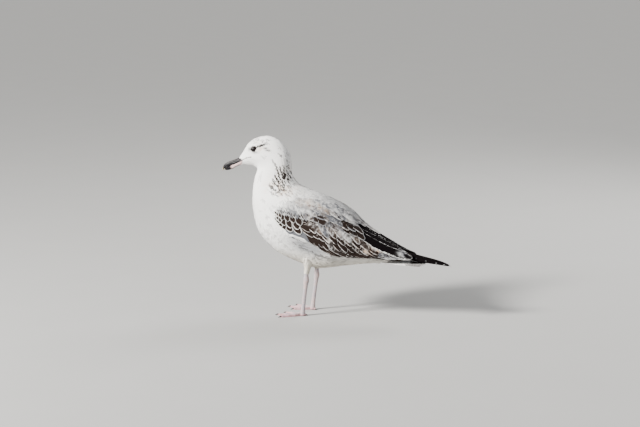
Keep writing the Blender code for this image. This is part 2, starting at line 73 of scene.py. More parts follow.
# A folded wing is a bulged sheet, and the long flight feathers one blade behind it. Each station: y, lower
# edge (x, z), upper edge (x, z), bulge, thickness.
WING = np.array([
    (-66, 62.6, 231, 61.8, 244, 0.8, 3), (-57, 64.2, 220, 60.4, 258, 2.5, 6),
    (-30, 65.5, 196, 58.2, 268, 6.5, 9), (10, 64.5, 176, 51.6, 266, 12.5, 11),
    (60, 60.5, 152, 43.5, 253, 17, 11), (100, 55.5, 145, 28, 239, 18, 10),
    (130, 50.5, 144.5, 4.5, 219, 17.5, 8), (165, 43.5, 144, 1.6, 195, 14, 6.5),
    (200, 35.5, 139.5, 1.6, 176, 9.5, 5), (225, 29, 138.5, 5, 162, 6, 3.6),
    (240, 23.5, 143, 12, 155.5, 3, 2.4), (247, 19.5, 147.5, 16.5, 151.5, 1, 1.6),
], float)
BLADE = np.array([
    (184, 27, 143.5, 3.2, 171, 2, 2.6), (225, 21.5, 137, 1, 156.5, 2, 2.6),
    (250, 18, 134.4, 0.6, 151, 2, 2.4), (275, 13.2, 132.3, 0.4, 143, 1.6, 2.2),
    (300, 8, 128.8, 0.4, 134.5, 1, 1.9), (318, 4.2, 127, 0.6, 129.5, 0.3, 1.5),
], float)
TAIL_ROOT = np.array([166.0, 20.0, 135.0])  # y, half width, height
TAIL_TIP = np.array([274.0, 31.5, 129.9])
TAIL_ARCH, TAIL_ROUNDING = 1.8, 9.0

EYE = np.array([16.6, -120.6, 379.3])  # the left eye's middle
EYE_RADIUS = 6.4
LID_OPEN = 4.9  # radius of the opening between the lids

# Swellings and hollows of the face: behind and above the eye, their spread, their rise.
FACE = ((1.0, 9.0, 13.0, 5.0, 1.4), (-17.0, -12.0, 9.0, 7.0, -1.8), (10.0, -22.0, 16.0, 10.0, 1.2))

# Bill stations: y, ridge or keel z, shut-line z, half width.
BILL_UPPER = np.array([
    (-158.5, 355.4, 345.6, 7.8), (-161.4, 354.6, 344.2, 7.5), (-172, 350, 339.8, 6.0),
    (-184, 345.6, 335.2, 4.9), (-192, 341.6, 331.8, 4.2), (-197, 337.4, 328.2, 3.3),
    (-200, 333, 324.8, 2.3), (-201.4, 328.5, 322.8, 1.2),
])
BILL_LOWER = np.array([
    (-158.5, 338.0, 345.2, 7.6), (-161.4, 336.8, 343.8, 7.2), (-170, 332.6, 340.2, 5.6),
    (-178, 327.8, 337.2, 4.6), (-186, 325.2, 334.1, 3.7), (-192, 324.4, 331.4, 2.8),
    (-196, 324.6, 328.6, 1.5),
])
NOSTRIL = {"y": -172.0, "half_length": 5.0, "height": 0.52, "half_height": 0.6, "depth": 1.1}

# Bare skin behind the bill, at lengths from its base: the angles, in degrees from the crown, between which it
# lies. It narrows to the corner of the mouth.
BARE_ARC = (0.0, 5.0, 9.0, 12.5)
BARE_TOP = (40.0, 60.0, 78.0, 102.0)
BARE_LOW = (178.0, 155.0, 130.0, 106.0)
MOUTH = (100.0, 101.0, 103.0, 104.0)

LEGS = {"left": (1, 31.0, 4.0, -4.5), "right": (-1, 31.0, 12.8, 3.5)}  # side, x, heel-joint y, foot y
# A leg from inside the body down to the foot: height, behind the heel joint, radius across, radius along.
LEG = np.array([
    (150, 10, 17.5, 22), (138, 7.9, 14.5, 18.4), (126, 5.5, 9.5, 11.6), (114, 3.2, 5.8, 7.2),
    (104, 1.5, 4.6, 5.4), (100, 0.8, 4.0, 4.7), (94, 0.3, 4.0, 4.9), (88.5, 0, 4.7, 6.2),
    (82, 0, 5.0, 6.6), (76, 0, 4.4, 5.9),
    (70, 0, 3.8, 5.1), (58, 0, 3.4, 4.6), (45, 0, 3.3, 4.5), (30, 0, 3.3, 4.5), (20, 0, 3.5, 4.8),
    (12, 0, 4.1, 5.3), (6.5, 0, 5.0, 6.1), (3.0, 0, 5.5, 6.6), (1.2, 0, 5.0, 6.0), (0.3, 0, 3.6, 4.4),
])
JOINT_HEIGHT, SHANK_FOOT, BARE_BELOW = 82.0, 8.0, 101.5

TOES = ((-25.0, 46.0), (0.0, 58.0), (23.0, 53.0))  # turn in degrees, length; inner, middle, outer
TOE_HALF, TOE_HIGH = (3.9, 2.5), (7.2, 4.2)
FOOT_TURN = 9.0


# ------------------------------------------------------------------------------------------- arithmetic


def smooth_table(rows, places):
    """Catmull-Rom curve through the rows of a table, read at fractional row numbers of any shape."""
    padded = np.vstack([2 * rows[0] - rows[1], rows, 2 * rows[-1] - rows[-2]])
    places = np.clip(np.asarray(places, float), 0, len(rows) - 1)
    low = np.minimum(places.astype(int), len(rows) - 2)
    t = (places - low)[..., None]
    a, b, c, d = (padded[low + k] for k in range(4))
    return b + 0.5 * t * (c - a + t * (2 * a - 5 * b + 4 * c - d + t * (3 * (b - c) + d - a)))


def table_at(table, ys):
    """Rows of a table whose first column rises, read at values of that column."""
    places = np.interp(ys, table[:, 0], np.arange(len(table)))
    return smooth_table(table, places)


def power(value, exponent):
    """A power that keeps the sign."""
    return np.sign(value) * np.abs(value) ** exponent


def step(low, high, value):
    """0 below low, 1 above high, and a smooth S between."""
    t = np.clip((value - low) / (high - low), 0, 1)
    return t * t * (3 - 2 * t)


def unit(vectors):
    return vectors / np.maximum(np.linalg.norm(vectors, axis=-1, keepdims=True), 1e-9)


def grid_read(grid, i, j):
    """A grid of points read at fractional places, bilinear inside it and straight on beyond its edges."""
    low_i = np.clip(np.floor(i).astype(int), 0, grid.shape[0] - 2)
    low_j = np.clip(np.floor(j).astype(int), 0, grid.shape[1] - 2)
    fi, fj = (i - low_i)[..., None], (j - low_j)[..., None]
    near = grid[low_i, low_j] * (1 - fj) + grid[low_i, low_j + 1] * fj
    far = grid[low_i + 1, low_j] * (1 - fj) + grid[low_i + 1, low_j + 1] * fj
    return near * (1 - fi) + far * fi


# ---------------------------------------------------------------------------------------------- surfaces


def body_point(place, angle):
    """The body's outer surface. In a section's plane: height = widest + rest * cos^(2/n), x = half width *
    sin^(2/n), with the angle 0 on top and a quarter turn on the left. Brow, lore and cheek are added in x
    as rise * exp(-(dy/a)^2 - (dz/b)^2)."""
    place, angle = np.broadcast_arrays(place, angle)
    row = np.moveaxis(smooth_table(BODY, place), -1, 0)
    cos, sin = np.cos(angle), np.sin(angle)
    full = np.where(cos >= 0, row[6], row[7])
    share = row[5] + np.where(cos >= 0, 1 - row[5], row[5]) * power(cos, 2 / full)
    x = row[4] * power(sin, 2 / full)
    y = row[2] + share * (row[0] - row[2])
    z = row[3] + share * (row[1] - row[3])
    side = np.sign(sin) * np.minimum(1.0, 2.5 * np.abs(sin))
    for behind, above, spread_y, spread_z, rise in FACE:
        far = ((y - EYE[1] - behind) / spread_y) ** 2 + ((z - EYE[2] - above) / spread_z) ** 2
        x = x + side * rise * np.exp(-far)
    return np.stack([x, y, z], -1)


def grid_normals(points, closed):
    """Unit normals of a grid of points from the cross product of its two directions."""
    along = np.gradient(points, axis=0)
    if closed:  # the last column repeats the first
        wrapped = np.concatenate([points[:, -2:-1], points, points[:, 1:2]], axis=1)
        across = (wrapped[:, 2:] - wrapped[:, :-2]) / 2
    else:
        across = np.gradient(points, axis=1)
    return unit(np.cross(across, along))


COLUMNS = 144
BODY_ROWS = 901
OVERRUN = 80.0  # the chart runs this far past the tail, for feathers that reach beyond it
ARC_STEP = 1.5  # mm between the rows of the body chart
ARC_END = 640.0


def body_chart():
    """The body as a grid whose rows lie at equal lengths from the bill, measured along each line of equal
    angle, and which runs straight on past the tail."""
    places = np.linspace(0, LAST, BODY_ROWS)[:, None]
    angles = np.linspace(0, TURN, COLUMNS + 1)[None, :]
    points = body_point(places, angles)
    onward = unit(points[-1:] - points[-30:-29])
    points = np.concatenate([points, points[-1:] + onward * OVERRUN])
    lengths = np.linalg.norm(np.diff(points, axis=0), axis=-1)
    arcs = np.concatenate([np.zeros((1, COLUMNS + 1)), np.cumsum(lengths, axis=0)])
    wanted = np.arange(0, ARC_END, ARC_STEP)
    chart = np.empty((len(wanted), COLUMNS + 1, 3))
    for column in range(COLUMNS + 1):
        for axis in range(3):
            chart[:, column, axis] = np.interp(wanted, arcs[:, column], points[:, column, axis])
    return chart, grid_normals(chart, True), arcs[-2]


BODY_CHART, BODY_NORMALS, BODY_ARCS = body_chart()


def on_body(arc, angle):
    """Point and normal of the body's outer surface at a length from the bill and an angle."""
    i, j = arc / ARC_STEP, np.mod(angle, TURN) / TURN * COLUMNS
    return grid_read(BODY_CHART, i, j), unit(grid_read(BODY_NORMALS, i, j))


SIDE_STEP = 2.5
SIDE_FROM, SIDE_TO = -72.0, 262.0
WING_ROWS, BACK_ROWS = 40, 16
BACK_ANGLES, BACK_TO = 61, 0.6 * np.pi  # lines on the body that the wing's upper edge may meet
BACK_FIRST_STATION = 8
BODY_ENDS = (115.0, 135.0)  # from one y to the other, the back gives way to a plain slope up to the wing


def wing_section(ys, shares, table=WING):
    """Outer face of a wing or blade: lower edge + share * chord + normal * bulge * 4 share (1 - share)."""
    row = np.moveaxis(table_at(table, ys), -1, 0)[..., None]
    low, up = np.stack([row[1], row[2]], -1), np.stack([row[3], row[4]], -1)
    chord = unit(up - low)
    normal = np.stack([chord[..., 1], -chord[..., 0]], -1)
    arch = 4 * shares * (1 - shares)
    xz = low + shares[..., None] * (up - low) + normal * (row[5] * arch)[..., None]
    y = np.broadcast_to(np.asarray(ys, float)[:, None], xz.shape[:2])
    return np.stack([xz[..., 0], y, xz[..., 1]], -1)


def side_chart():
    """The left side as one surface: rows at equal y, columns from the wing's lower edge (0) to its upper
    edge (1), then over the back to the middle line (2)."""
    ys = np.arange(SIDE_FROM, SIDE_TO, SIDE_STEP)
    wing = wing_section(ys, np.linspace(0, 1, WING_ROWS + 1)[None, :])
    angles = np.linspace(0, BACK_TO, BACK_ANGLES)
    places = np.linspace(BACK_FIRST_STATION, LAST, 400)
    back = np.empty((len(ys), BACK_ROWS + 1, 3))
    columns = [body_point(places, angle) for angle in angles]
    section = np.stack([
        np.stack([np.interp(ys, c[:, 1], c[:, axis]) for axis in range(3)], -1) for c in columns
    ], 1)
    edge = wing[:, -1]
    nearest = np.argmin(np.linalg.norm(section - edge[:, None], axis=-1), axis=1)
    shares = np.linspace(0, 1, BACK_ROWS + 1)
    for k, row in enumerate(section):
        at = nearest[k] * (1 - shares)
        for axis in range(3):
            back[k, :, axis] = np.interp(at, np.arange(len(angles)), row[:, axis])
        back[k] += (edge[k] - back[k, 0]) * (1 - shares[:, None]) ** 2
    behind = step(*BODY_ENDS, ys)[:, None, None]
    ridge = edge * (0.0, 1.0, 1.0)
    straight = edge[:, None] + shares[None, :, None] * (ridge - edge)[:, None]
    back = back * (1 - behind) + straight * behind
    chart = np.concatenate([wing, back[:, 1:]], axis=1)
    return chart, -grid_normals(chart, False)


SIDE_CHART, SIDE_NORMALS = side_chart()


def side_place(y, z):
    """Fractional row and column of the side chart at points seen from the side."""
    i = (y - SIDE_FROM) / SIDE_STEP
    low = np.clip(np.floor(i).astype(int), 0, len(SIDE_CHART) - 2)
    f = np.clip(i - low, 0, 1)[..., None]
    heights = SIDE_CHART[low, :, 2] * (1 - f) + SIDE_CHART[low + 1, :, 2] * f
    heights = np.maximum.accumulate(heights + 1e-6 * np.arange(heights.shape[-1]), axis=-1)
    above = np.clip((heights < z[..., None]).sum(-1), 1, heights.shape[-1] - 1)
    below = np.take_along_axis(heights, above[..., None] - 1, -1)[..., 0]
    over = np.take_along_axis(heights, above[..., None], -1)[..., 0]
    return i, above - 1 + (z - below) / np.maximum(over - below, 1e-6)


# ------------------------------------------------------------------------------------------------ meshes


def to_frame(points):
    """From millimetres about the feet to metres about the bird's middle."""
    return ((points.reshape(-1, 3) - (0.0, MIDDLE, 0.0)) * MM).astype(np.float32)


def put_values(mesh, values):
    """Numbers kept per point, which the materials read by name."""
    for key, value in values.items():
        layer = mesh.attributes.new(key, "FLOAT", "POINT")
        layer.data.foreach_set("value", np.ascontiguousarray(value, np.float32).ravel())


def mesh_object(name, points, faces, values=None, patch=None, smooth=True):
    """An object from points in millimetres and four-cornered faces, with values kept per point."""
    mesh = bpy.data.meshes.new(name)
    co = to_frame(points)
    mesh.vertices.add(len(co))
    mesh.vertices.foreach_set("co", co.ravel())
    corners = faces.reshape(-1, 4).astype(np.int32)
    mesh.loops.add(corners.size)
    mesh.loops.foreach_set("vertex_index", corners.ravel())
    mesh.polygons.add(len(corners))
    mesh.polygons.foreach_set("loop_start", np.arange(0, corners.size, 4, dtype=np.int32))
    mesh.update(calc_edges=True)
    put_values(mesh, values or {})
    if patch is not None:
        uv = mesh.uv_layers.new(name="OFBake")
        uv.data.foreach_set("uv", patch.reshape(-1, 2)[corners.ravel()].astype(np.float32).ravel())
    if smooth:
        mesh.shade_smooth()
    else:
        mesh.shade_flat()
    obj = bpy.data.objects.new(name, mesh)
    bpy.context.scene.collection.objects.link(obj)
    return obj


def tube_faces(rings, loop=False):
    """Faces of closed tubes from rings (tube, along, around, xyz): quads between neighbouring rings, and a
    ladder of quads across each end, or the last ring joined to the first. Each tube faces outwards."""
    count, along, around = rings.shape[:3]
    index = np.arange(count * along * around).reshape(count, along, around)
    turned = np.roll(index, -1, axis=2)
    if loop:
        index_up, turned_up = np.roll(index, -1, axis=1), np.roll(turned, -1, axis=1)
        faces = np.stack([index, turned, turned_up, index_up], -1).reshape(count, -1, 4)
    else:
        sides = np.stack([index[:, :-1], turned[:, :-1], turned[:, 1:], index[:, 1:]], -1)
        i = np.arange(around // 2 - 1)
        ladder = np.stack([i, i + 1, around - 2 - i, around - 1 - i], -1)
        ends = index[:, 0][:, ladder[:, ::-1]], index[:, -1][:, ladder]
        faces = np.concatenate([sides.reshape(count, -1, 4), *ends], axis=1)
    points = rings.reshape(-1, 3)
    corners = points[faces] - rings.reshape(count, -1, 3).mean(1)[:, None, None]
    volume = np.einsum("tfi,tfi->t", corners[:, :, 0], np.cross(corners[:, :, 1], corners[:, :, 2]))
    volume += np.einsum("tfi,tfi->t", corners[:, :, 0], np.cross(corners[:, :, 2], corners[:, :, 3]))
    faces[volume < 0] = faces[volume < 0][..., ::-1]
    return faces


def tubes(name, rings, values=None, patch=None, loop=False, smooth=True):
    """An object of closed tubes."""
    return mesh_object(name, rings, tube_faces(rings, loop), values, patch, smooth)


def ring_pairs(top, bottom):
    """Rings of thin closed blades from their upper and lower faces (blade, along, across, xyz)."""
    return np.concatenate([top, bottom[:, :, ::-1]], axis=2)


def mirrored(points, side):
    """Points of the left side, or for side -1 of the right."""
    return points * (side, 1.0, 1.0)


def finish_piece(obj, material, slot, *nodes):
    """Gives a piece its material and body, and hides the nodes that it stands in for. slot is not used."""
    if material.name not in [m.name for m in obj.data.materials if m]:
        obj.data.materials.append(material)
    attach(obj, "root")
    if nodes:
        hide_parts(*nodes)
    return obj


def piece(name, rings, material, slot, *nodes, **kept):
    """A closed piece from its rings, with a named material."""
    return finish_piece(tubes(name, rings, **kept), MATERIALS[material], slot, *nodes)


# ---------------------------------------------------------------------------------------------- markings


def blob(y, z, middle_y, middle_z, spread_y, spread_z, turn=0.0):
    """A soft patch seen from the side: exp(-(u/a)^2 - (v/b)^2), turned by some degrees."""
    c, s = np.cos(np.radians(turn)), np.sin(np.radians(turn))
    u, v = (y - middle_y) * c + (z - middle_z) * s, (z - middle_z) * c - (y - middle_y) * s
    return np.exp(-((u / spread_y) ** 2) - (v / spread_z) ** 2)


def near_line(y, z, line, width):
    """1 on a broken line seen from the side, falling to 0 at some width from it."""
    near = np.full(np.shape(y), 1e9)
    for (y0, z0), (y1, z1) in zip(line, line[1:]):
        dy, dz = y1 - y0, z1 - z0
        t = np.clip(((y - y0) * dy + (z - z0) * dz) / (dy * dy + dz * dz), 0, 1)
        near = np.minimum(near, np.hypot(y - y0 - t * dy, z - z0 - t * dz))
    return step(1.0, 0.55, near / width)


# Broken lines of the face, seen from the side (y, z): along the mouth and on behind its corner, where the
# closed slit of the mouth is painted as shade, and behind the eye.
MOUTH_SLIT_SHADE = ((-161.5, 344.0), (-151.4, 348.7), (-147.5, 353.0), (-138.0, 357.3), (-127.0, 360.0))
EYE_STREAK = ((-114.0, 381.5), (-106.0, 385.5), (-99.0, 388.5), (-87.0, 391.6))

# Patches of plumage seen from the side: middle y and z, spreads, turn in degrees.
PATCHES = {
    "nape": (-51, 319, 25, 29, -55), "high_nape": (-52, 358, 17, 20), "shawl": (-52, 290, 36, 12, -8),
    "ear": (-80, 368, 16, 13), "crown": (-102, 399, 26, 10), "neck_side": (-84, 318, 17, 30),
    # flank_painted_shade: painted shade on the flank under the wing, which faces down.
    "flank": (14, 160, 60, 20, -25), "flank_painted_shade": (14, 166, 58, 17, -25),
    "behind_eye": (-100, 379, 14, 7), "over_eye": (-112, 392, 12, 5),
}
# How many of the feathers in a patch are streaked, and how dark their streaks are, over a small amount
# that all the plumage has.
STREAKED = {"nape": 0.64, "high_nape": 0.26, "shawl": 0.50, "ear": 0.22, "neck_side": 0.14, "flank": 0.10}
DEPTHS = {"nape": 1.05, "high_nape": 0.38, "shawl": 0.28, "flank": 0.20, "crown": 0.24, "ear": 0.24}
STREAKED_ANYWHERE, DEPTH_ANYWHERE = 0.02, 0.13
BREAST_STREAKED, CROWN_STREAKED = 0.17, 0.42
# Smudges of the face: middle y and z, spreads, darkness. Lore, below the eye, and two on the ear coverts.
SMUDGES = (
    (-130.5, 378.0, 4.5, 4.0, 0.45), (-117.0, 371.5, 8.0, 3.0, 0.40),
    (-86.0, 376.5, 5.0, 1.8, 0.80), (-92.0, 381.5, 4.0, 1.7, 0.65),
)
# Width and darkness of the painted shade along the mouth's slit.
MOUTH_SLIT_SHADE_WIDTH, MOUTH_SLIT_SHADE_DARK = 1.15, 0.6


def streak_markings(y, z, patches, chance):
    """How dark the streak of a feather is: full where its chance is under the share of streaked feathers
    there, and faint on the grey mantle."""
    share = STREAKED_ANYWHERE + sum(amount * patches[name] for name, amount in STREAKED.items())
    breast = step(345.0, 300.0, z) * step(-125.0, -95.0, y) * BREAST_STREAKED
    share = np.maximum(share, np.maximum(breast, CROWN_STREAKED * patches["crown"]))
    depth = DEPTH_ANYWHERE + sum(amount * patches[name] for name, amount in DEPTHS.items())
    streak = step(share + 0.04, share - 0.04, chance) * np.minimum(depth, 1.0)
    mantle = step(-40.0, 0.0, y + 0.35 * (z - 290)) * step(150.0, 200.0, z)
    return streak * (1 - 0.9 * mantle) + 0.12 * mantle * step(0.2, 0.1, chance), mantle


def face_markings(y, z):
    """Black of the face: the streak behind the eye, which tapers, the ring round the eye, the smudges, and
    the line of the mouth, which is painted shade of its closed slit."""
    taper = step(-83.0, -108.0, y)
    dark = near_line(y, z, EYE_STREAK, 1.7 + 1.4 * taper) * np.minimum(0.85, 1.4 * taper)
    around = np.hypot((y - EYE[1] - 0.3) / 1.16, z - EYE[2] + 0.4)
    dark = np.maximum(dark, step(7.7, 6.3, around))
    for *place, amount in SMUDGES:
        dark = np.maximum(dark, blob(y, z, *place) * amount)
    # Painted shade along the closed slit of the mouth.
    return np.maximum(dark, near_line(y, z, MOUTH_SLIT_SHADE, MOUTH_SLIT_SHADE_WIDTH) * MOUTH_SLIT_SHADE_DARK)


def markings(points, chance):
    """How streaked, dark, grey, buff and cream the plumage is at some points. Part of the grey is painted
    shade on the flank and lower body, and the cream is painted warm light reflected up onto the lower belly.
    chance is a random number from 0 to 1 for each point, which decides whether a feather there carries a dark
    streak. The skin passes 0.5, so it is dark only where most of the feathers are streaked."""
    y, z = points[..., 1], points[..., 2]
    side = step(3.0, 9.0, np.abs(points[..., 0]))
    patches = {name: blob(y, z, *place) for name, place in PATCHES.items()}
    streak, mantle = streak_markings(y, z, patches, chance)
    grey = mantle * (0.28 + 0.42 * step(0.0, 60.0, y))
    # Painted shade: grey on the flank under the wing and on the lower body, which face down.
    grey = grey + 0.72 * patches["flank_painted_shade"] + 0.22 * step(210.0, 150.0, z)
    buff = 0.60 * patches["shawl"] + 0.25 * patches["nape"]
    buff = buff + (0.60 * patches["behind_eye"] + 0.40 * patches["over_eye"]) * side
    return {
        "streak": streak, "dark": face_markings(y, z) * side, "grey": grey, "buff": np.clip(buff, 0, 1),
        # Painted warm light, reflected up onto the lower belly.
        "cream": 0.8 * step(168.0, 115.0, z),
    }


# --------------------------------------------------------------------------------------- materials, nodes


class Net:
    """Short forms for building a node tree."""

    def __init__(self, tree):
        self.tree = tree

    def add(self, kind, **settings):
        node = self.tree.nodes.new(kind)
        for key, value in settings.items():
            setattr(node, key, value)
        return node

    def put(self, socket, value):
        if isinstance(value, bpy.types.NodeSocket):
            self.tree.links.new(value, socket)
        else:
            socket.default_value = value

    def math(self, operation, *values):
        node = self.add("ShaderNodeMath", operation=operation)
        for socket, value in zip(node.inputs, values):
            self.put(socket, value)
        return node.outputs[0]

    def plus(self, first, second):
        return self.math("ADD", first, second)

    def minus(self, first, second):
        return self.math("SUBTRACT", first, second)

    def times(self, first, second):
        return self.math("MULTIPLY", first, second)

    def between(self, value, low, high, start=0.0, end=1.0):
        """A smooth step: start where the value is low, end where it is high."""
        node = self.add("ShaderNodeMapRange", interpolation_type="SMOOTHSTEP")
        given = {"Value": value, "From Min": low, "From Max": high, "To Min": start, "To Max": end}
        for key, item in given.items():
            self.put(node.inputs[key], item)
        return node.outputs["Result"]

    def mix(self, share, first, second, blend="MIX"):
        node = self.add("ShaderNodeMix", data_type="RGBA", blend_type=blend)
        self.put(node.inputs[0], share)
        self.put(node.inputs[6], first)
        self.put(node.inputs[7], second)
        return node.outputs[2]

    def deep(self, share):
        """A share of a dark tone made even to the eye: 1 - (1 - share)^2.2."""
        rest = self.math("MAXIMUM", self.minus(1.0, share), 0.0)
        return self.minus(1.0, self.math("POWER", rest, 2.2))

    def value(self, name):
        return self.add("ShaderNodeAttribute", attribute_name=name).outputs["Fac"]

    def noise(self, scale, detail, stretch=None):
        node = self.add("ShaderNodeTexNoise")
        node.inputs["Scale"].default_value = scale
        node.inputs["Detail"].default_value = detail
        node.inputs["Roughness"].default_value = 0.5
        place = self.add("ShaderNodeTexCoord").outputs["Object"]
        if stretch:
            scaled = self.add("ShaderNodeMapping")
            self.put(scaled.inputs["Vector"], place)
            scaled.inputs["Scale"].default_value = stretch
            place = scaled.outputs[0]
        self.put(node.inputs["Vector"], place)
        return node.outputs["Fac"]

    def group(self, tree, **values):
        node = self.add("ShaderNodeGroup", node_tree=tree)
        for key, value in values.items():
            self.put(node.inputs[key.replace("_", " ")], value)
        return node.outputs


def new_group(name, inputs, outputs):
    """A shader node group with named sockets. Returns the group, its net, its inputs and its outputs."""
    tree = bpy.data.node_groups.new(name, "ShaderNodeTree")
    kinds = {"value": "NodeSocketFloat", "colour": "NodeSocketColor"}
    for label, kind, default in inputs:
        socket = tree.interface.new_socket(label, in_out="INPUT", socket_type=kinds[kind])
        socket.default_value = default
    for label, kind in outputs:
        tree.interface.new_socket(label, in_out="OUTPUT", socket_type=kinds[kind])
    net = Net(tree)
    given = net.add("NodeGroupInput").outputs
    result = net.add("NodeGroupOutput").inputs
    return tree, net, given, result


WHITE = (0.86, 0.855, 0.84, 1.0)
# CREAM is painted warm light reflected up onto the lower belly.
CREAM = (0.78, 0.71, 0.58, 1.0)
BUFF = (0.58, 0.42, 0.30, 1.0)
GREY = (0.104, 0.108, 0.121, 1.0)
BROWN = (0.016, 0.0105, 0.0085, 1.0)
BLACK = (0.0036, 0.0026, 0.0030, 1.0)


def plumage_group():
    """Body plumage: white, grey, cream and buff, with a dark streak along the middle of a feather. The grey
    is partly the mantle's own and partly painted shade, and the cream is painted warm light reflected from
    below.
    """
    tree, net, given, result = new_group(
        "plumage",
        (("Streak", "value", 0.0), ("Dark", "value", 0.0), ("Grey", "value", 0.0), ("Buff", "value", 0.0),
         ("Cream", "value", 0.0), ("Middle", "value", 0.5)),
        (("Color", "colour"), ("Height", "value")),
    )
    mottle = net.noise(70.0, 3.0)
    fine = net.noise(420.0, 2.0)
    ground = net.mix(given["Cream"], WHITE, CREAM)
    ground = net.mix(given["Grey"], ground, GREY)
    ground = net.mix(net.times(given["Buff"], net.between(mottle, 0.38, 0.62)), ground, BUFF)
    inside = net.between(net.plus(given["Middle"], net.times(fine, 0.25)), 0.0, 0.25)
    streak = net.times(given["Streak"], inside)
    ground = net.mix(net.deep(streak), ground, BROWN)
    dark = net.times(given["Dark"], net.between(fine, 0.2, 0.45, 0.94, 1.0))
    net.put(result["Color"], net.mix(net.deep(dark), ground, BLACK))
    barbs = net.noise(900.0, 1.0)
    net.put(result["Height"], net.plus(net.times(mottle, 0.5), barbs))
    return tree


def vane_group():
    """A large feather: a ground of white, grey and brown, a dark centre kept some way inside its rim, a pale
    fringe, bars and mottles, and fine barbs running out from the shaft."""
    tree, net, given, result = new_group(
        "vane",
        (("Rim", "value", 3.0), ("Middle", "value", 0.5), ("Along", "value", 0.5), ("Barb", "value", 0.0),
         ("Centre", "value", 3.0), ("Depth", "value", 0.5), ("Grey", "value", 0.0), ("Buff", "value", 0.0),
         ("Fringe", "value", 1.0), ("Mottle", "value", 0.0), ("Dark Tone", "colour", BROWN)),
        (("Color", "colour"), ("Height", "value")),
    )
    wander = net.noise(230.0, 2.0)
    broad = net.noise(95.0, 2.0)
    tone = net.noise(130.0, 2.0)
    loose = net.times(net.minus(wander, 0.5), 2.0)
    rim = net.plus(given["Rim"], loose)
    greyness = net.times(given["Grey"], net.between(tone, 0.30, 0.62, 0.62, 1.12))
    ground = net.mix(greyness, WHITE, GREY)
    ground = net.mix(net.times(given["Buff"], net.between(broad, 0.40, 0.60, 0.25, 1.0)), ground, BUFF)
    worn = net.between(given["Along"], 0.0, 0.8)
    start = net.times(given["Centre"], net.plus(net.times(worn, 0.7), 0.3))
    centre = net.between(rim, net.minus(start, 0.5), net.plus(start, 0.5))
    phase = net.plus(net.times(given["Barb"], 0.6), net.times(broad, 3.5))
    notches = net.times(net.math("SINE", phase), 0.3)
    uneven = net.plus(net.times(wander, 1.6), net.times(broad, 2.0))
    uneven = net.plus(net.minus(uneven, 1.8), notches)
    uneven = net.times(uneven, given["Mottle"])
    amount = net.times(net.plus(given["Depth"], uneven), centre)
    weight = net.between(given["Depth"], 0.2, 0.9, 0.5, 1.0)
    colour = net.mix(net.times(net.between(amount, 0.2, 0.8), weight), ground, given["Dark Tone"])
    width = net.times(net.times(given["Fringe"], worn), net.between(broad, 0.34, 0.6, 0.45, 1.25))
    fringed = net.between(given["Fringe"], 0.0, 0.4)
    edge = net.between(rim, net.plus(width, 0.35), net.minus(width, 0.35))
    faded = net.between(tone, 0.40, 0.60, 0.14, 0.85)
    colour = net.mix(net.times(net.times(edge, fringed), faded), colour, WHITE)
    shaft = net.between(given["Middle"], 0.94, 0.98, 0.0, 0.5)
    colour = net.mix(shaft, colour, given["Dark Tone"])
    barb_wave = net.math("SINE", net.times(given["Barb"], 5.2))
    lines = net.times(net.plus(barb_wave, 1.0), 0.10)
    net.put(result["Color"], net.mix(lines, colour, (0.30, 0.28, 0.27, 1.0), "MULTIPLY"))
    ridge = net.between(given["Middle"], 0.88, 0.97)
    height = net.plus(net.times(barb_wave, 0.5), net.times(ridge, 1.5))
    net.put(result["Height"], net.plus(height, wander))
    return tree


def scute_group():
    """Scaly skin of legs and feet: small plates with dark joints, and creases."""
    tree, net, given, result = new_group(
        "scutes", (("Scale", "value", 420.0),), (("Joint", "value"), ("Height", "value"))
    )
    cells = net.add("ShaderNodeTexVoronoi", feature="DISTANCE_TO_EDGE")
    place = net.add("ShaderNodeMapping")
    net.put(place.inputs["Vector"], net.add("ShaderNodeTexCoord").outputs["Object"])
    place.inputs["Scale"].default_value = (0.8, 0.8, 1.9)
    net.put(cells.inputs["Vector"], place.outputs[0])
    net.put(cells.inputs["Scale"], given["Scale"])
    joint = net.between(cells.outputs["Distance"], 0.10, 0.0)
    net.put(result["Joint"], joint)
    net.put(result["Height"], net.minus(net.between(cells.outputs["Distance"], 0.0, 0.3), joint))
    return tree


def horn_group():
    """Horn of bill and claws: streaks along the growth, which give faint wear, and fine specks in its relief.
    """
    tree, net, given, result = new_group(
        "horn", (("Amount", "value", 1.0),), (("Wear", "value"), ("Height", "value"))
    )
    streaks = net.noise(260.0, 3.0, stretch=(1.0, 0.16, 1.0))
    specks = net.noise(900.0, 2.0)
    net.put(result["Wear"], net.times(net.between(streaks, 0.45, 0.75), given["Amount"]))
    net.put(result["Height"], net.plus(streaks, net.times(specks, 0.3)))
    return tree


GROUPS = {"plumage": plumage_group(), "vane": vane_group(), "scutes": scute_group(), "horn": horn_group()}


def new_material(name, roughness, specular):
    """A material with its Principled shader. Returns the material, its net and the shader."""
    made = bpy.data.materials.new(name)
    made.use_nodes = True
    shader = made.node_tree.nodes["Principled BSDF"]
    shader.inputs["Roughness"].default_value = roughness
    shader.inputs["Specular IOR Level"].default_value = specular
    return made, Net(made.node_tree), shader


def colour_and_relief(net, shader, colour, height, strength, distance):
    """Links a shader's colour, and fine relief of some strength and depth in metres."""
    net.put(shader.inputs["Base Color"], colour)
    node = net.add("ShaderNodeBump")
    node.inputs["Strength"].default_value = strength
    node.inputs["Distance"].default_value = distance
    net.put(node.inputs["Height"], height)
    net.put(shader.inputs["Normal"], node.outputs["Normal"])


